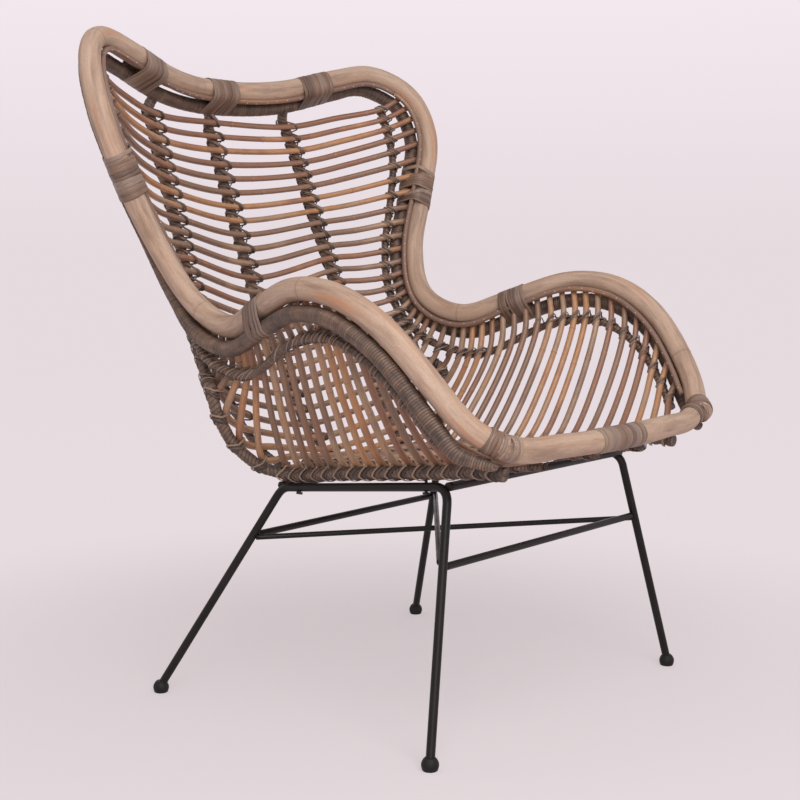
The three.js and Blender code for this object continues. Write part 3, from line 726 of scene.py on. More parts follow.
def taut(ovals, count):
    """Places and outward ways, in a plane, of a loop drawn taut round ovals.

    An oval is its centre and its two half widths."""
    turn = np.linspace(0, math.tau, count + 1)
    way = np.stack([np.cos(turn), np.sin(turn)], axis=-1)
    places = np.array([
        np.array(centre) + way * np.square(halves) / np.linalg.norm(way * halves, axis=1, keepdims=True)
        for centre, halves in ovals])
    furthest = np.argmax(np.sum(places * way, axis=2), axis=0)
    return places[furthest, np.arange(count + 1)], way


class Strip:
    """A loop of flat peel: its rings, its width and its tone from 0, dark, to 1, pale.

    bow(turn) is how far it leaves its plane at each turn about it, counted from the first way."""

    def __init__(self, origin, first_way, second_way, ovals, count, width, shade, bow=None):
        flat, ways = taut(ovals, count)
        plane, beside = np.array([first_way, second_way]), np.cross(first_way, second_way)
        self.places = origin + flat @ plane
        if bow:
            self.places = self.places + bow(np.linspace(0, math.tau, count + 1))[:, None] * beside
        self.normals = ways @ plane
        self.besides = np.broadcast_to(beside, self.normals.shape)
        self.lengths = lengths_along(self.places)
        self.width = width
        self.tone = shade


def strips(name, loops, sides, thickness):
    """Loops of flat peel, each a closed band with rounded edges, as one mesh."""
    run = len(loops[0].places)
    parts = "places", "normals", "besides"
    rings = [np.vstack([getattr(loop, part) for loop in loops]) for part in parts]
    width = np.repeat([loop.width for loop in loops], run)
    lengths = np.concatenate([loop.lengths for loop in loops])

    def shape(ring, share):
        angle = math.tau * (share + 0.5 / sides)
        across, along = (np.clip(math.sqrt(2) * wave(angle), -1, 1) for wave in (np.sin, np.cos))
        return thickness / 2 * along, width[ring] / 2 * across
    return sweep(name, rings, sides, shape, lambda ring, share: lengths[ring],
                 {"tone": np.repeat([loop.tone for loop in loops], run)}, run)


def piece(name, mesh, finish, slot, *nodes):
    """Puts a finished mesh in the scene, on the chair's one body."""
    made = placed(name, mesh)
    mesh.materials.clear()
    mesh.materials.append(finish)
    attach(made, BODY)
    if nodes:
        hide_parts(*nodes)


def even_stops(length, spacing):
    return np.linspace(0, length, max(2, round(length / spacing) + 1))


def growth_stops(line, spacing, chance, apart):
    """Stops along a cane, with close ones at its growth rings, and where the rings are."""
    rings, along = [], chance.uniform(0.2, 0.9) * apart
    while along < line.length - LAST_RING:
        rings.append(along)
        along += apart * chance.uniform(0.7, 1.35)
    width = sizes("canes").ring_width
    near = [ring + width * offset for ring in rings for offset in RING_STOPS]
    stops = np.unique(np.concatenate([even_stops(line.length, spacing), near]))
    return stops, np.array(rings)


def ring_rise(rings):
    """How much of a growth ring's height a place along a cane has."""
    width = sizes("canes").ring_width

    def rise(along):
        if not len(rings):
            return np.zeros(along.shape)
        gap = np.abs(along[:, None] - rings[None]).min(1)
        return np.exp(-(gap / width) ** 2)
    return rise


def cane(name, line, radius, sides, spacing, chance, apart, stain):
    """A smooth cane with growth rings, a little thicker in some stretches than in others."""
    stops, rings = growth_stops(line, spacing, chance, apart)
    rise, height = ring_rise(rings), sizes("canes").ring_height
    start, wave = chance.uniform(0, math.tau), chance.uniform(*SWELL_WAVES)

    def reach(along, share):
        swell = SWELL * np.sin(start + math.tau * along / wave)
        return radius * (1 + swell) + height * rise(along)
    return tube(name, line, stops, sides, reach, metres, {
        "stain": lambda along: np.full(along.shape, stain),
        "ring": rise})


def wound(name, line, radius, sides, pitch, tilt, per_turn):
    """A tube of flat peel wound round a line: slanting turns with a groove between them.

    radius(along) is the cane's, and tilt is how far a turn leans, in turns."""
    thickness = sizes("peel").thickness

    def turns(along, share):
        return along / pitch + tilt * np.sin(math.tau * share + 2.0)

    def reach(along, share):
        inside = np.abs(2 * (turns(along, share) % 1) - 1)
        waver = 0.5 + 0.5 * np.sin(2.1 * along / pitch) * np.sin(0.7 * along / pitch)
        return radius(along) + thickness * (0.2 + (1 - inside ** 4) * (0.5 + 0.5 * waver))
    return tube(name, line, even_stops(line.length, pitch / per_turn), sides, reach, turns)


# Finishes

class Socket:
    """An output of a node, so that sums on it are written as sums."""

    def __init__(self, nodes, output):
        self.nodes = nodes
        self.output = output

    def math(self, operation, first, second=0.0):
        return self.nodes.node("ShaderNodeMath", {"operation": operation}, {0: first, 1: second})

    def __add__(self, other):
        return self.math("ADD", self, other)

    def __radd__(self, other):
        return self.math("ADD", other, self)

    def __sub__(self, other):
        return self.math("SUBTRACT", self, other)

    def __rsub__(self, other):
        return self.math("SUBTRACT", other, self)

    def __mul__(self, other):
        return self.math("MULTIPLY", self, other)

    def __rmul__(self, other):
        return self.math("MULTIPLY", other, self)

    def floor(self):
        return self.math("FLOOR", self)

    def fraction(self):
        return self.math("FRACT", self)

    def size(self):
        return self.math("ABSOLUTE", self)


class Nodes:
    """A node tree under construction."""

    def __init__(self, tree):
        self.tree = tree
        tree.nodes.clear()

    def node(self, kind, settings=None, inputs=None, output=0):
        made = self.tree.nodes.new(kind)
        for key, value in (settings or {}).items():
            if key == "stops":
                ramp = made.color_ramp
                while len(ramp.elements) < len(value):
                    ramp.elements.new(1.0)
                for element, (position, shade) in zip(ramp.elements, value):
                    element.position = position
                    element.color = (*shade, 1.0)
            else:
                setattr(made, key, value)
        for key, value in (inputs or {}).items():
            self.feed(made.inputs[key], value)
        return Socket(self, made.outputs[output])

    def feed(self, socket, value):
        if isinstance(value, Socket):
            self.tree.links.new(value.output, socket)
        elif socket.type == "RGBA":
            socket.default_value = (*value, 1.0)
        else:
            socket.default_value = value

    def mix(self, mask, low, high):
        return self.node(
            "ShaderNodeMix", {"data_type": "RGBA"}, {0: mask, 6: low, 7: high}, output=2)

    def ramp(self, value, *stops):
        return self.node("ShaderNodeValToRGB", {"stops": stops}, {0: value})

    def noise(self, place, scale, detail=3.0, roughness=0.55):
        return self.node("ShaderNodeTexNoise", inputs={
            "Vector": place, "Scale": scale, "Detail": detail, "Roughness": roughness})

    def span(self, value, low, high, to_low=0.0, to_high=1.0):
        return self.node("ShaderNodeMapRange", inputs={
            0: value, 1: low, 2: high, 3: to_low, 4: to_high})


class Finish(Nodes):
    """A material under construction."""

    def __init__(self, name, roughness, metallic=0.0):
        self.material = bpy.data.materials.new(name)
        self.material.use_nodes = True
        super().__init__(self.material.node_tree)
        self.surface = self.tree.nodes.new("ShaderNodeBsdfPrincipled")
        self.surface.inputs["Roughness"].default_value = roughness
        self.surface.inputs["Metallic"].default_value = metallic
        self.out = self.tree.nodes.new("ShaderNodeOutputMaterial")
        self.tree.links.new(self.surface.outputs[0], self.out.inputs["Surface"])

    def set(self, **sockets):
        for name, value in sockets.items():
            self.feed(self.surface.inputs[name.replace("_", " ")], value)

    def attribute(self, name):
        return self.node("ShaderNodeAttribute", {"attribute_name": name}, output=2)

    def uv(self):
        """How far along the piece, or its count of turns, and how far round it."""
        map_of = self.node("ShaderNodeUVMap", {"uv_map": "UVMap"})
        split = self.node("ShaderNodeSeparateXYZ", inputs={0: map_of})
        return split, Socket(self, split.output.node.outputs[1])

    def random_of(self, value):
        return self.node("ShaderNodeTexWhiteNoise", {"noise_dimensions": "1D"}, {"W": value})

    def object_place(self):
        return self.node("ShaderNodeTexCoord", output=3)

    def wrapped(self, along, share, stretch, offset=0.0):
        """A place on a seamless roll: along the piece, and round it."""
        angle = share * math.tau
        return self.node("ShaderNodeCombineXYZ", inputs={
            0: along * stretch, 1: angle.math("COSINE", angle) + offset, 2: angle.math("SINE", angle)})

    def bump(self, height, strength, distance):
        return self.node("ShaderNodeBump", inputs={
            "Strength": strength, "Distance": distance, "Height": height})


def tone(name):
    return tuple(getattr(sizes("colours"), name))


@functools.cache
def pole_finish():
    """Smooth peeled pole: long soft streaks, bleached and orange stretches, faint fibres."""
    f = Finish("rattan_pole", 0.5)
    along, share = f.uv()
    streak = f.noise(f.wrapped(along, share, 2.6), 2.3, 4.0)
    soil = f.noise(f.wrapped(along, share, 9.0, 5.0), 1.3, 4.0, 0.7)
    patch = f.noise(f.wrapped(along, share, 5.0, 3.0), 1.1, 2.0)
    fibre = f.noise(f.wrapped(along, share, 14.0), 22.0, 2.0, 0.7)
    ring = f.attribute("ring")
    base = f.mix(f.span(streak, 0.36, 0.64), tone("pole"), tone("pole_pale"))
    base = f.mix(f.span(soil, 0.46, 0.68, 0.0, 0.72), base, tone("pole_grey"))
    warm = f.span(patch, 0.58, 0.70) * f.span(streak, 0.60, 0.45)
    base = f.mix(warm * 0.75, base, tone("pole_warm"))
    base = f.mix(f.span(fibre, 0.48, 0.76, 0.0, 0.45), base, tone("pole_grey"))
    base = f.mix(ring * 0.5, base, tone("pole_grey"))
    f.set(Base_Color=base, Roughness=f.span(streak, 0.3, 0.7, 0.56, 0.72),
          Normal=f.bump(fibre + ring * 0.4, 0.22, 0.0006), Specular_IOR_Level=0.35)
    return f.material


@functools.cache
def cane_finish():
    """Thin canes with their skin on: each its own brown, streaked along, with a painted highlight on the
    flanks of each growth ring and a dark line at its crest.
    """
    f = Finish("rattan_cane", 0.42)
    along, share = f.uv()
    stain, ring = f.attribute("stain"), f.attribute("ring")
    streak = f.noise(f.wrapped(along, share, 1.6, 0.0), 2.6, 4.0)
    patch = f.noise(f.wrapped(along, stain, 5.0), 2.4, 3.0)
    fibre = f.noise(f.wrapped(along, share, 9.0, 2.0), 14.0, 2.0, 0.7)
    soil = f.noise(f.wrapped(along + stain * 3.0, share, 22.0, 4.0), 1.6, 4.0, 0.7)
    base = f.ramp(stain + (patch - 0.5) * 0.9,
                  (0.00, tone("red")), (0.28, tone("dusk")), (0.50, tone("red")), (0.68, tone("honey")),
                  (0.86, tone("tan")), (1.00, tone("dusk")))
    base = f.mix(f.span(streak, 0.42, 0.70, 0.0, 0.45), base, tone("tan"))
    base = f.mix(f.span(fibre, 0.48, 0.74, 0.0, 0.55), base, tone("peel_dark"))
    base = f.mix(f.span(soil, 0.54, 0.72, 0.0, 0.65), base, tone("peel"))
    # Painted highlight: a pale orange band on both flanks of each growth ring
    base = f.mix(f.span(ring, 0.15, 0.55, 0.0, 0.55), base, tone("pole_warm"))
    base = f.mix(f.span(ring, 0.80, 1.0, 0.0, 0.75), base, tone("peel_dark"))
    f.set(Base_Color=base, Roughness=f.span(streak, 0.3, 0.7, 0.34, 0.52),
          Normal=f.bump(fibre + ring, 0.25, 0.0004))
    return f.material


@functools.cache
def peel_finish():
    """Peel wound round a cane: turns and stretches of their own tone, with dark fibres, and painted shade in
    the grooves between turns.
    """
    f = Finish("wound_peel", 0.55)
    turn, share = f.uv()
    across = ((turn.fraction() - 0.5) * 2.0).size()
    own = f.random_of(turn.floor())
    stretch = f.noise(f.wrapped(turn, share, 0.07, 2.0), 1.0, 2.0, 0.6)
    fibre = f.noise(f.wrapped(turn, share, 6.0), 3.0, 3.0, 0.7)
    shade = f.span(stretch, 0.34, 0.66) * 0.6 + own * 0.4
    base = f.ramp(shade, (0.0, tone("peel_dark")), (0.40, tone("peel")), (0.78, tone("strip_brown")),
                  (1.0, tone("strip_grey")))
    base = f.mix(f.span(fibre, 0.46, 0.68, 0.0, 0.6), base, tone("peel_dark"))
    # Painted shade: each turn darkens towards its edges, in the grooves between the turns
    base = f.mix(f.span(across, 0.55, 1.0, 0.0, 0.9), base, tone("peel_dark"))
    f.set(Base_Color=base, Roughness=f.span(fibre, 0.3, 0.7, 0.44, 0.62),
          Normal=f.bump(f.span(across, 1.0, 0.6) + fibre * 0.3, 0.5, 0.0008))
    return f.material


@functools.cache
def strip_finish():
    """Flat strips of peel: each its own tone, with fibres along it."""
    f = Finish("peel_strip", 0.5)
    along, share = f.uv()
    own = f.attribute("tone")
    place = f.wrapped(along + own * 7.0, share, 12.0)
    fibre = f.noise(place, 7.0, 3.0, 0.7)
    smear = f.noise(f.wrapped(along + own * 5.0, share, 25.0, 3.0), 0.7, 3.0)
    shade = own + (smear - 0.5) * 0.45
    base = f.ramp(shade, (0.0, tone("peel_dark")), (0.25, tone("peel")), (0.45, tone("strip_brown")),
                  (0.65, tone("strip_grey")), (0.85, tone("strip_tan")), (1.0, tone("pole_pale")))
    base = f.mix(f.span(fibre, 0.46, 0.70, 0.0, 0.5), base, tone("peel_dark"))
    f.set(Base_Color=base, Roughness=f.span(fibre, 0.3, 0.7, 0.42, 0.60), Normal=f.bump(fibre, 0.4, 0.0005))
    return f.material


@functools.cache
def trim_finish():
    """The trim cane: purple-brown to orange, with its skin on."""
    f = Finish("trim_cane", 0.5)
    along, share = f.uv()
    streak = f.noise(f.wrapped(along, share, 3.0), 2.6, 4.0)
    patch = f.noise(f.wrapped(along, share, 6.0, 4.0), 0.8, 2.0)
    fibre = f.noise(f.wrapped(along, share, 12.0), 16.0, 2.0, 0.7)
    base = f.mix(f.span(streak, 0.35, 0.66), tone("trim"), tone("dusk"))
    base = f.mix(f.span(patch, 0.55, 0.68, 0.0, 0.75), base, tone("honey"))
    base = f.mix(f.span(fibre, 0.48, 0.78, 0.0, 0.4), base, tone("peel_dark"))
    f.set(Base_Color=base, Normal=f.bump(fibre, 0.3, 0.0004))
    return f.material


def mottled_finish(name, roughness, metallic, shade, spots, grain, worn, gloss=0.5):
    """A coating with fine grain, and slightly paler tones where it is worn."""
    f = Finish(name, roughness, metallic)
    f.set(Specular_IOR_Level=gloss)
    place = f.object_place()
    wear = f.noise(place, spots, 4.0)
    base = f.mix(f.span(wear, 0.45, 0.78), shade, tuple(worn * x for x in shade))
    f.set(Base_Color=base, Roughness=f.span(wear, 0.3, 0.7, roughness - 0.08, roughness + 0.1),
          Normal=f.bump(f.noise(place, grain, 2.0), 0.12, 0.0002))
    return f.material


@functools.cache
def steel_finish():
    return mottled_finish("black_steel", 0.38, 0.0, tone("steel"), 24.0, 900.0, 1.8, 0.22)


@functools.cache
def foot_finish():
    return mottled_finish("foot_rubber", 0.60, 0.0, tone("foot"), 60.0, 1400.0, 2.2, 0.25)


@functools.cache
def nail_finish():
    return mottled_finish("nail_head", 0.38, 0.3, tone("nail"), 300.0, 900.0, 0.7)


# Pieces

def stain_of(number):
    """A stain for each hoop, from 0 to 1, in no order that the eye can find."""
    return random.Random(STAIN_SEED + number).random()


def make_hoops():
    radius = sizes("canes").hoop
    for number, line in enumerate(hoop_lines(), start=1):
        chance = random.Random(CANE_SEED + number)
        node = BACK_PANEL if number <= BACK_HOOPS else f"hoop_{number:02d}"
        mesh = cane(f"cane_{number:02d}", line, radius * chance.uniform(*CANE_RADII), sides=12,
                    spacing=0.009, chance=chance, apart=0.20, stain=stain_of(number))
        piece(f"cane_{number:02d}", mesh, cane_finish(), "cane", node)


def make_rim():
    lines = rim_lines()
    radius = sizes("canes").pole
    for node in ("rim_pole", "front_rail"):
        chance = random.Random(len(node))
        mesh = cane(f"{node}_cane", lines[node], radius, sides=28, spacing=0.008, chance=chance,
                    apart=0.34, stain=0.5)
        piece(f"{node}_cane", mesh, pole_finish(), "pole", node)


def make_wrapped_rim():
    line = rim_lines()["wrapped_rim"]

    def radius(along):
        from_end = np.minimum(along, line.length - along) / RIM_TAIL
        return sizes("canes").wrapped * (RIM_TAIL_TIP + (1 - RIM_TAIL_TIP) * np.clip(from_end, 0, 1))
    mesh = wound("wrapped_rim_winding", line, radius, sides=14, pitch=sizes("peel").rim_pitch, tilt=0.8,
                 per_turn=4)
    piece("wrapped_rim_winding", mesh, peel_finish(), "peel", "wrapped_rim")


def top_trim_line():
    """The trim cane along the top of the back, from the end of one side's trim to the other's."""
    pole = rim_lines()["rim_pole"]
    ends = [rim_lines()[f"trim_cane_{side}"].highest_end() for side in SIDES]
    starts = [pole.along_of(end) for end in ends]
    offsets = [end - pole.at(start) for end, start in zip(ends, starts)]
    reach = np.linalg.norm(offsets[0])
    share = np.linspace(0, 1, TOP_TRIM_STEPS)[:, None]
    bend = (2 * share - 1) ** 4
    offset = np.where(share < 0.5, offsets[0], offsets[1])
    lean = offset * bend + reach * unit(TOP_TRIM_WAY) * (1 - bend)
    along = starts[0] + (starts[1] - starts[0]) * share[:, 0]
    return Line(pole.at(along) + unit(lean) * (reach * bend + TOP_TRIM_REACH * (1 - bend)))


def trim_lines():
    lines = {f"trim_cane_{side}": rim_lines()[f"trim_cane_{side}"] for side in SIDES}
    return lines | {"top_trim": top_trim_line()}


def make_trims():
    radius = sizes("canes").trim
    for name, line in trim_lines().items():
        chance = random.Random(name)
        mesh = cane(f"{name}_strip", line, radius, sides=10, spacing=0.008, chance=chance, apart=0.25,
                    stain=0.5)
        nodes = [name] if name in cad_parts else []
        piece(f"{name}_strip", mesh, trim_finish(), "pole", *nodes)
        nails(f"{name}_nails", line, chance)


def nails(name, line, chance):
    """Small domed heads along a trim cane, on the side that the sitter sees."""
    bm = bmesh.new()
    reach, head = sizes("canes").trim, sizes("canes").nail
    along = chance.uniform(0.3, 0.7) * NAIL_GAP
    while along < line.length:
        place, outward, beside = (row[0] for row in line.frame(np.array([along])))
        lean = unit(-outward + beside * chance.uniform(-0.5, 0.5))
        turn = Vector(lean).to_track_quat("Z", "Y").to_matrix().to_4x4()
        flat = Matrix.Diagonal((1.0, 1.0, NAIL_FLATNESS, 1.0))
        bmesh.ops.create_icosphere(bm, subdivisions=1, radius=head,
                                   matrix=Matrix.Translation(place + lean * reach) @ turn @ flat)
        along += NAIL_GAP * chance.uniform(0.7, 1.3)
    for face in bm.faces:
        face.smooth = True
    piece(name, ended(name, bm), nail_finish(), "pole")


def make_spars():
    pitch = sizes("peel").spar_pitch
    for node, line in spar_lines().items():
        kind = node.split("_")[0]
        replaced = BACK_PANEL if kind == "keel" else node

        def radius(along, kind=kind, line=line):
            return spar_radius(kind, line.at(along))
        mesh = wound(f"{node}_winding", line, radius, sides=14, pitch=pitch, tilt=0.6, per_turn=5)
        piece(f"{node}_winding", mesh, peel_finish(), "peel", replaced)
        loops = chevrons(node, line) if kind == "edge" else knots(node, line, kind)
        mesh = strips(f"{node}_lashing", loops, 4, sizes("peel").thickness * LASHING_THICKNESS)
        piece(f"{node}_lashing", mesh, strip_finish(), "peel", replaced)


def crossings(line):
    """Where each hoop passes a spar: the hoop's place and way, and the spar's."""
    for hoop in hoop_lines():
        hoop_along, along = hoop.nearest(line)
        place, centre = hoop.at(hoop_along), line.at(along)
        if np.linalg.norm(centre - place) < LASHED_REACH:
            yield place, hoop.onward(hoop_along), centre, line.onward(along)


def square_to(way, other):
    """The part of a way that is square to another."""
    return unit(way - other * (way @ other))


def uneven(chance, width, shade):
    """A strip's width and tone, each a little off."""
    return width * chance.uniform(*UNEVEN_WIDTHS), shade + chance.uniform(-UNEVEN_TONE, UNEVEN_TONE)


def knots(node, line, kind):
    """The strips that tie each hoop to a spar, each drawn taut round both."""
    peel, chance = sizes("peel"), random.Random(node)
    hoop_reach = sizes("canes").hoop + peel.thickness
    upright = np.array([0, 0, 1.0] if kind == "side" else [1.0, 0, 0])
    loops = []
    for place, hoop_way, centre, spar_way in crossings(line):
        reach = spar_radius(kind, centre) + LASHING_STAND * peel.thickness
        outward, beyond = unit(centre - place), np.linalg.norm(centre - place)
        aside, spar_way = square_to(hoop_way, outward), square_to(spar_way, outward)
        aside = aside * np.sign(aside @ upright)
        down = np.cross(outward, aside)
        down = down * np.sign(down @ spar_way)
        for offset, slant, width, shade in TIES[kind]:
            slant = math.radians(slant + chance.uniform(-UNEVEN_SLANT, UNEVEN_SLANT))
            first = math.cos(slant) * aside + math.sin(slant) * down
            origin = place + aside * (offset + chance.uniform(-UNEVEN_PLACE, UNEVEN_PLACE))
            slack = chance.uniform(0, LASHING_SLACK) * peel.thickness
            width, shade = uneven(chance, width, shade)
            against = np.cross(spar_way, first) @ outward
            if abs(against) < LEAST_CROSSING:
                continue
            spar_at = np.cross(spar_way, centre - origin) @ outward / against
            ovals = [((spar_at, beyond), ((reach + slack) / abs(against), reach + slack)),
                     ((0.0, 0.0), ((hoop_reach + slack) / abs(math.sin(slant)), hoop_reach + slack))]
            loops.append(Strip(origin, first, outward, ovals, LASHING_STEPS, width, shade))
    return loops


def chevrons(node, line):
    """Strips round an edge pole, each with a point on the outer side, and some of them over a hoop."""
    peel, chance = sizes("peel"), random.Random(node)
    loops = []
    for place, _, centre, spar_way in crossings(line):
        third = spar_way * np.sign(-spar_way[1])
        second = square_to(centre - place, third)
        first = np.cross(second, third)
        point = CHEVRON_POINT * [np.sign(centre[0]), 1, 1]
        point_turn = math.atan2(point @ second, point @ first)

        def bow(turn, point_turn=point_turn):
            gap = np.abs((turn - point_turn + math.pi) % math.tau - math.pi)
            return CHEVRON_DEPTH * np.minimum(gap / (math.pi / 2), 1.0)
        for offset, stand, width, shade, over_hoop in CHEVRONS:
            reach = spar_radius("edge", centre) + peel.thickness + stand * chance.uniform(*CHEVRON_STANDS)
            ovals = [((0.0, 0.0), (reach, reach))]
            if over_hoop:
                hoop_reach = sizes("canes").hoop + peel.thickness
                hoop_at = (place - centre) @ first, (place - centre) @ second
                ovals.append((hoop_at, (hoop_reach, hoop_reach)))
            origin = centre + third * (offset + chance.uniform(-UNEVEN_PLACE, UNEVEN_PLACE))
            width, shade = uneven(chance, width, shade)
            loops.append(Strip(origin, first, second, ovals, CHEVRON_STEPS, width, shade, bow))
    return loops


def bands(line, centre, length, others, chance, shade, hoops=(), pitch=None):
    """Flat bands side by side round a stretch of the pole, and round other lines beside it.

    others are lines with the radius that each needs. Between hoops, the bands draw together where the
    hoops meet the pole. hoops holds how far along each meets it, and the way that it leaves."""
    peel = sizes("peel")
    pitch = pitch or peel.band_pitch
    count = round(length / pitch)
    trend = chance.uniform(-BAND_TREND, BAND_TREND)
    loops = []
    for number in range(count):
        share = (number + 0.5) / count - 0.5
        along = centre + share * count * pitch
        place, normal, beside = (row[0] for row in line.frame(np.array([along])))
        onward = line.onward(along)
        first = unit(normal + onward * chance.uniform(-BAND_LEAN, BAND_LEAN))
        second = square_to(beside + onward * chance.uniform(-BAND_TWIST, BAND_TWIST), first)
        lift = peel.thickness * chance.uniform(*BAND_LIFTS)
        reach = sizes("canes").pole + lift
        ovals = [((0.0, 0.0), (reach, reach))]
        for other, radius in others:
            offset = other.at(other.along_of(place)) - place
            ovals.append(((offset @ first, offset @ second), (radius + lift, radius + lift)))
            ovals.append(((offset @ first / 2, offset @ second / 2), (reach * BULGE, reach * BULGE)))
        shade_here = shade + trend * share + chance.uniform(-BAND_TONES, BAND_TONES)
        width = pitch * chance.uniform(*BAND_WIDTHS)
        bow = drawn_together(along, first, second, hoops)
        loops.append(Strip(place, first, second, ovals, BAND_STEPS, width, shade_here, bow))
    return loops


def drawn_together(along, first, second, hoops):
    """How far a band leaves its plane, so that it passes between two hoops."""
    below = max((hoop for hoop in hoops if hoop[0] <= along), default=None, key=lambda hoop: hoop[0])
    above = min((hoop for hoop in hoops if hoop[0] > along), default=None, key=lambda hoop: hoop[0])
    if below is None or above is None:
        return None
    between = (below[0] + above[0]) / 2
    shift = (along - between) * (HOOP_SQUEEZE - 1)
    hoop_turn = math.atan2(below[1] @ second, below[1] @ first)
    return lambda turn: shift * (0.5 + 0.5 * np.cos(turn - hoop_turn)) ** 1.5


def make_bindings():
    lines, canes = rim_lines(), sizes("canes")
    pole, rail, wrapped = lines["rim_pole"], lines["front_rail"], (lines["wrapped_rim"], canes.wrapped)
    trims = {name: (line, canes.trim) for name, line in trim_lines().items()}
    starts = [(pole.along_of(hoop.at(0)), hoop.onward(0.01)) for hoop in hoop_lines()]
    toward_start = -1 if starts[0][0] < pole.length / 2 else 1
    for name, offset in (("middle", 0.0), ("left", TOP_BINDING_SPREAD), ("right", -TOP_BINDING_SPREAD)):
        centre = pole.length / 2 + offset * toward_start
        loops = bands(pole, centre, TOP_BINDING, [wrapped, trims["top_trim"]], random.Random("top" + name),
                      TOP_BINDING_TONE)
        finish_binding(f"top_binding_{name}", loops, "rim_pole")
    for side in SIDES:
        hoops = starts if side == "left" else [(pole.length - along, way * MIRROR) for along, way in starts]
        for place, hoop_number, length, shade, pitch, parted in SIDE_BINDINGS:
            centre = np.interp(hoop_number, np.arange(1, HOOPS + 1), [along for along, _ in hoops])
            loops = bands(pole, centre, length, [wrapped, trims[f"trim_cane_{side}"]],
                          random.Random(place + side), shade, hoops if parted else (), pitch)
            finish_binding(f"{place}_binding_{side}", loops, "rim_pole")
        corner = corner_line(pole, rail, side)
        loops = bands(corner, corner.length / 2, CORNER_BINDING, [], random.Random("corner" + side),
                      CORNER_TONE, pitch=CORNER_PITCH)
        finish_binding(f"corner_bands_{side}", loops, f"corner_binding_{side}")
    chance, loops = random.Random("front"), []
    for offset, length, shade in FRONT_BINDINGS:
        offset *= np.sign(rail.at(rail.length)[0])
        loops += bands(rail, rail.length / 2 + offset, length, [], chance, shade, pitch=FRONT_PITCH)
    finish_binding("front_bands", loops, "front_binding")


def finish_binding(name, loops, node):
    mesh = strips(name, loops, 8, sizes("peel").thickness * BAND_THICKNESS)
    piece(name, mesh, strip_finish(), "peel", node)


def corner_line(pole, rail, side):
    """A line round a front corner: the end of the pole, and then the end of the front rail."""
    sign = 1 if side == "left" else -1
    ends = []
    for line in (pole, rail):
        near = np.array([CORNER_REACH, 0.5 * CORNER_REACH, 0.1 * CORNER_REACH])
        ends.append(line.at(near if line.at(0)[0] * sign > 0 else line.length - near))
    return Line(np.vstack([ends[0], ends[1][::-1]]))


def upward(places):
    """The way that the seam of a cross bar faces."""
    return np.broadcast_to([0.0, 0.0, 1.0], places.shape)


def sideways(places):
    """The way that the seam of a side rod faces."""
    return np.broadcast_to([1.0, 0.0, 0.0], places.shape)


@functools.cache
def side_rod():
    places = marched("side_frame_left", end=(0, -0.5, -1), onward=(0, 0, 1), step=0.003, reach=0.014)
    return Line(places, sideways)


def rod_lines():
    """The line and radius of each steel bar, by the name of its node."""
    steel = sizes("steel")
    found = {f"side_frame_{name}": (line, steel.rod) for name, line in pair(side_rod()).items()}
    for node, radius in (
            ("front_cross_bar", steel.rod), ("rear_cross_bar", steel.rod),
            ("front_stretcher", steel.stretcher), ("rear_stretcher", steel.stretcher),
            ("brace_upper", steel.brace), ("brace_lower", steel.brace)):
        found[node] = Line(bar(node, (1, 0, 0)), upward), radius
    return found


def make_base():
    sides = sizes("steel").sides
    for node, (line, radius) in rod_lines().items():
        mesh = tube(f"{node}_rod", line, even_stops(line.length, ROD_STEP), sides, even(radius), metres)
        piece(f"{node}_rod", mesh, steel_finish(), "steel", node)
    for node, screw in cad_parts.items():
        if node.startswith("screw"):
            screw.data.materials.clear()
            screw.data.materials.append(steel_finish())


def make_feet():
    """Ball feet: the outline spun upright, flat on the floor under the end of each leg."""
    steel, rods = sizes("steel"), pair(side_rod())
    for node in [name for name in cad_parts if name.startswith("foot")]:
        low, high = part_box(node)
        base = Vector(((low[0] + high[0]) / 2, (low[1] + high[1]) / 2, 0.0))
        rod = rods[node.split("_")[2]]
        tip, inward = min(
            ((rod.at(along), rod.onward(along)) for along in (FINE, rod.length - FINE)),
            key=lambda end: (Vector(end[0]) - base).length)
        upright = Vector(inward if inward[2] > 0 else -inward)
        base = Vector(tip) - upright * ((tip[2] - FOOT_LEG_SHARE * steel.foot_height) / upright.z)
        bm = bmesh.new()
        profile = [bm.verts.new((share * steel.foot, 0.0, height * steel.foot_height))
                   for share, height in FOOT_OUTLINE]
        edges = [bm.edges.new(ends) for ends in zip(profile, profile[1:])]
        bmesh.ops.subdivide_edges(bm, edges=edges, cuts=2, smooth=0.6)
        bmesh.ops.spin(bm, geom=bm.verts[:] + bm.edges[:], axis=(0, 0, 1), cent=(0, 0, 0), angle=math.tau,
                       steps=FOOT_SIDES, use_merge=True)
        bmesh.ops.remove_doubles(bm, verts=bm.verts, dist=WELD)
        bmesh.ops.translate(bm, vec=(base.x, base.y, 0.0), verts=bm.verts)
        bmesh.ops.recalc_face_normals(bm, faces=bm.faces)
        for face in bm.faces:
            face.smooth = len(face.verts) <= 4
        piece(f"{node}_ball", ended(f"{node}_ball", bm), foot_finish(), "foot", node)


# Stage

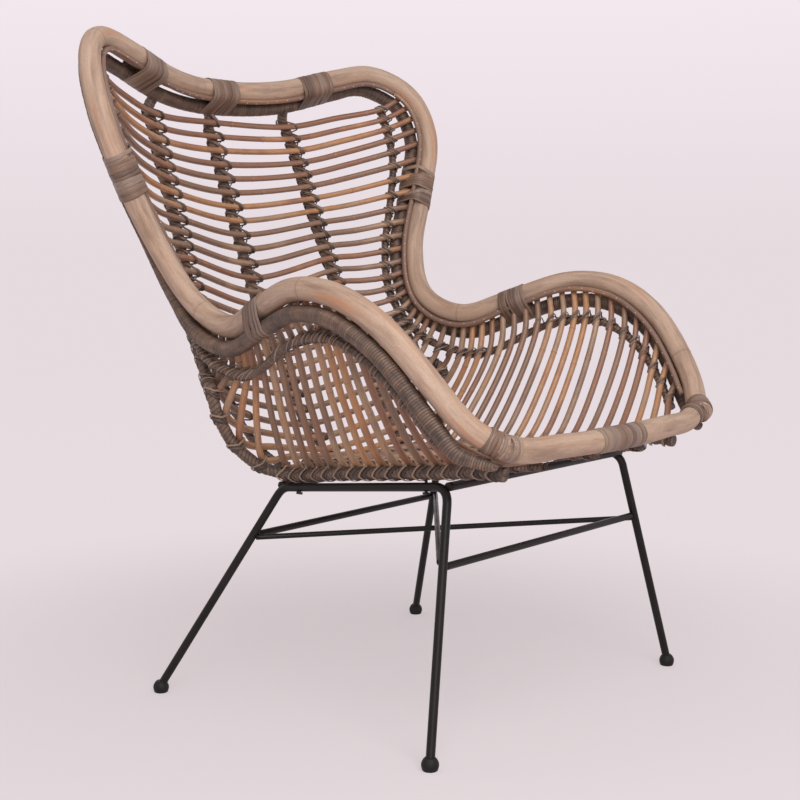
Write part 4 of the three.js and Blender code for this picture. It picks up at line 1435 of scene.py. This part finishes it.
def make_floor():
    """A round floor. Near the chair it takes shadows, and further off it is seen as an even tone."""
    bm = bmesh.new()
    bmesh.ops.create_circle(bm, cap_ends=True, segments=64, radius=FLOOR_RADIUS)
    floor = placed("studio_floor", ended("studio_floor", bm))
    f = Finish("studio_floor", 0.9)
    far = f.node("ShaderNodeVectorMath", {"operation": "LENGTH"}, {0: f.object_place()}, output=1)
    fade = f.node("ShaderNodeMapRange", {"interpolation_type": "SMOOTHSTEP"}, {
        0: far, 1: 0.3, 2: 1.3, 3: 0.55, 4: 1.0})
    f.set(Base_Color=tone("floor"))
    even_tone = f.mix(f.span(far, 0.8, 5.5), tone("floor_seen"), tone("horizon"))
    glow = f.node("ShaderNodeEmission", inputs={"Color": even_tone, "Strength": 1.0})
    blend = f.node("ShaderNodeMixShader", inputs={0: fade, 1: Socket(f, f.surface.outputs[0]), 2: glow})
    f.tree.links.new(blend.output, f.out.inputs["Surface"])
    floor.data.materials.append(f.material)


def make_world():
    """Even light all round. What the camera and shiny things see is the studio's backdrop."""
    world = bpy.data.worlds.new("studio_world")
    bpy.context.scene.world = world
    world.use_nodes = True
    w = Nodes(world.node_tree)
    way = w.node("ShaderNodeSeparateXYZ", inputs={0: w.node("ShaderNodeTexCoord")}, output=2)
    sky = w.mix(w.span(way, 0.0, 0.17), tone("horizon"), tone("backdrop"))
    seen = w.node("ShaderNodeBackground", inputs={"Color": sky})
    level = sizes("stage").world
    even_light = w.node("ShaderNodeBackground", inputs={"Color": EVEN_LIGHT, "Strength": level})
    rays = [w.node("ShaderNodeLightPath", output=name) for name in (
        "Is Camera Ray", "Is Glossy Ray", "Is Transmission Ray")]
    straight = rays[0].math("MAXIMUM", rays[0], rays[1].math("MAXIMUM", rays[1], rays[2]))
    choice = w.node("ShaderNodeMixShader", inputs={0: straight, 1: even_light, 2: seen})
    out = w.tree.nodes.new("ShaderNodeOutputWorld")
    w.tree.links.new(choice.output, out.inputs["Surface"])


def add_light(name, power):
    """A soft square light, turned to the chair."""
    place, size = LIGHTS[name]
    lamp = bpy.data.lights.new(f"{name}_light", "AREA")
    lamp.size = size
    lamp.energy = power
    made = placed(f"{name}_light", lamp)
    made.location = place
    made.rotation_euler = (LIT_PLACE - Vector(place)).to_track_quat("-Z", "Y").to_euler()


def make_stage():
    settings = sizes("stage")
    bpy.context.scene.view_settings.view_transform = "Standard"
    make_floor()
    make_world()
    add_light("key", settings.key)
    add_light("fill", settings.fill)


def make_camera():
    settings = sizes("stage")
    camera = bpy.data.cameras.new("camera")
    camera.lens = settings.lens
    camera.sensor_width = 36.0
    made = placed("camera", camera)
    azimuth, pitch = math.radians(settings.azimuth), math.radians(settings.pitch)
    level = math.cos(pitch)
    back = Vector((math.sin(azimuth) * level, -math.cos(azimuth) * level, math.sin(pitch)))
    turn = (-back).to_track_quat("-Z", "Y").to_matrix().to_4x4()
    made.matrix_world = Matrix.Translation(settings.place) @ turn @ Matrix.Rotation(
        math.radians(settings.roll), 4, "Z")
    bpy.context.scene.camera = made


# Operators, one for each group of like pieces

class RATTAN_OT_hoops(bpy.types.Operator):
    """Make the canes of the shell"""
    bl_idname = "rattan.hoops"
    bl_label = "Hoops"

    def execute(self, context):
        make_hoops()
        return {"FINISHED"}


class RATTAN_OT_rim(bpy.types.Operator):
    """Make the pole and the front rail"""
    bl_idname = "rattan.rim"
    bl_label = "Pole and Front Rail"

    def execute(self, context):
        make_rim()
        return {"FINISHED"}


class RATTAN_OT_wrapped_rim(bpy.types.Operator):
    """Make the wound outer rim"""
    bl_idname = "rattan.wrapped_rim"
    bl_label = "Wrapped Rim"

    def execute(self, context):
        make_wrapped_rim()
        return {"FINISHED"}


class RATTAN_OT_trims(bpy.types.Operator):
    """Make the trim canes and their nails"""
    bl_idname = "rattan.trims"
    bl_label = "Trim Canes"

    def execute(self, context):
        make_trims()
        return {"FINISHED"}


class RATTAN_OT_spars(bpy.types.Operator):
    """Make the wound spars and edge poles, and tie the hoops to them"""
    bl_idname = "rattan.spars"
    bl_label = "Spars and Lashings"

    def execute(self, context):
        make_spars()
        return {"FINISHED"}


class RATTAN_OT_bindings(bpy.types.Operator):
    """Make the bindings round the pole"""
    bl_idname = "rattan.bindings"
    bl_label = "Bindings"

    def execute(self, context):
        make_bindings()
        return {"FINISHED"}


class RATTAN_OT_base(bpy.types.Operator):
    """Make the steel base and its screws"""
    bl_idname = "rattan.base"
    bl_label = "Steel Base"

    def execute(self, context):
        make_base()
        return {"FINISHED"}


class RATTAN_OT_feet(bpy.types.Operator):
    """Make the ball feet"""
    bl_idname = "rattan.feet"
    bl_label = "Feet"

    def execute(self, context):
        make_feet()
        return {"FINISHED"}


class RATTAN_OT_stage(bpy.types.Operator):
    """Make the floor, the lights and the camera"""
    bl_idname = "rattan.stage"
    bl_label = "Stage"

    def execute(self, context):
        make_camera()
        make_stage()
        return {"FINISHED"}


OPERATORS = (
    RATTAN_OT_stage, RATTAN_OT_hoops, RATTAN_OT_rim, RATTAN_OT_wrapped_rim, RATTAN_OT_trims, RATTAN_OT_spars,
    RATTAN_OT_bindings, RATTAN_OT_base, RATTAN_OT_feet)


class RATTAN_PT_chair(bpy.types.Panel):
    """The steps of the chair, in order"""
    bl_label = "Rattan Chair"
    bl_idname = "RATTAN_PT_chair"
    bl_space_type = "VIEW_3D"
    bl_region_type = "UI"
    bl_category = "Rattan Chair"

    def draw(self, context):
        for step in OPERATORS:
            self.layout.operator(step.bl_idname)
        for group in GROUPS:
            box = self.layout.box()
            settings = getattr(context.scene, "rattan_" + group)
            for name in settings.__annotations__:
                box.prop(settings, name)


GROUPS = {
    "canes": CaneSizes, "peel": PeelSizes, "steel": SteelSizes, "colours": Colours, "stage": StageSettings}


def register():
    for made in (*GROUPS.values(), *OPERATORS, RATTAN_PT_chair):
        bpy.utils.register_class(made)
    for group, kind in GROUPS.items():
        setattr(bpy.types.Scene, "rattan_" + group, PointerProperty(type=kind))


def unregister():
    for group in GROUPS:
        delattr(bpy.types.Scene, "rattan_" + group)
    for made in (RATTAN_PT_chair, *reversed(OPERATORS), *reversed(GROUPS.values())):
        bpy.utils.unregister_class(made)


def main():
    register()
    for step in OPERATORS:
        getattr(bpy.ops.rattan, step.bl_idname.split(".")[1])()


if __name__ == "__main__":
    main()
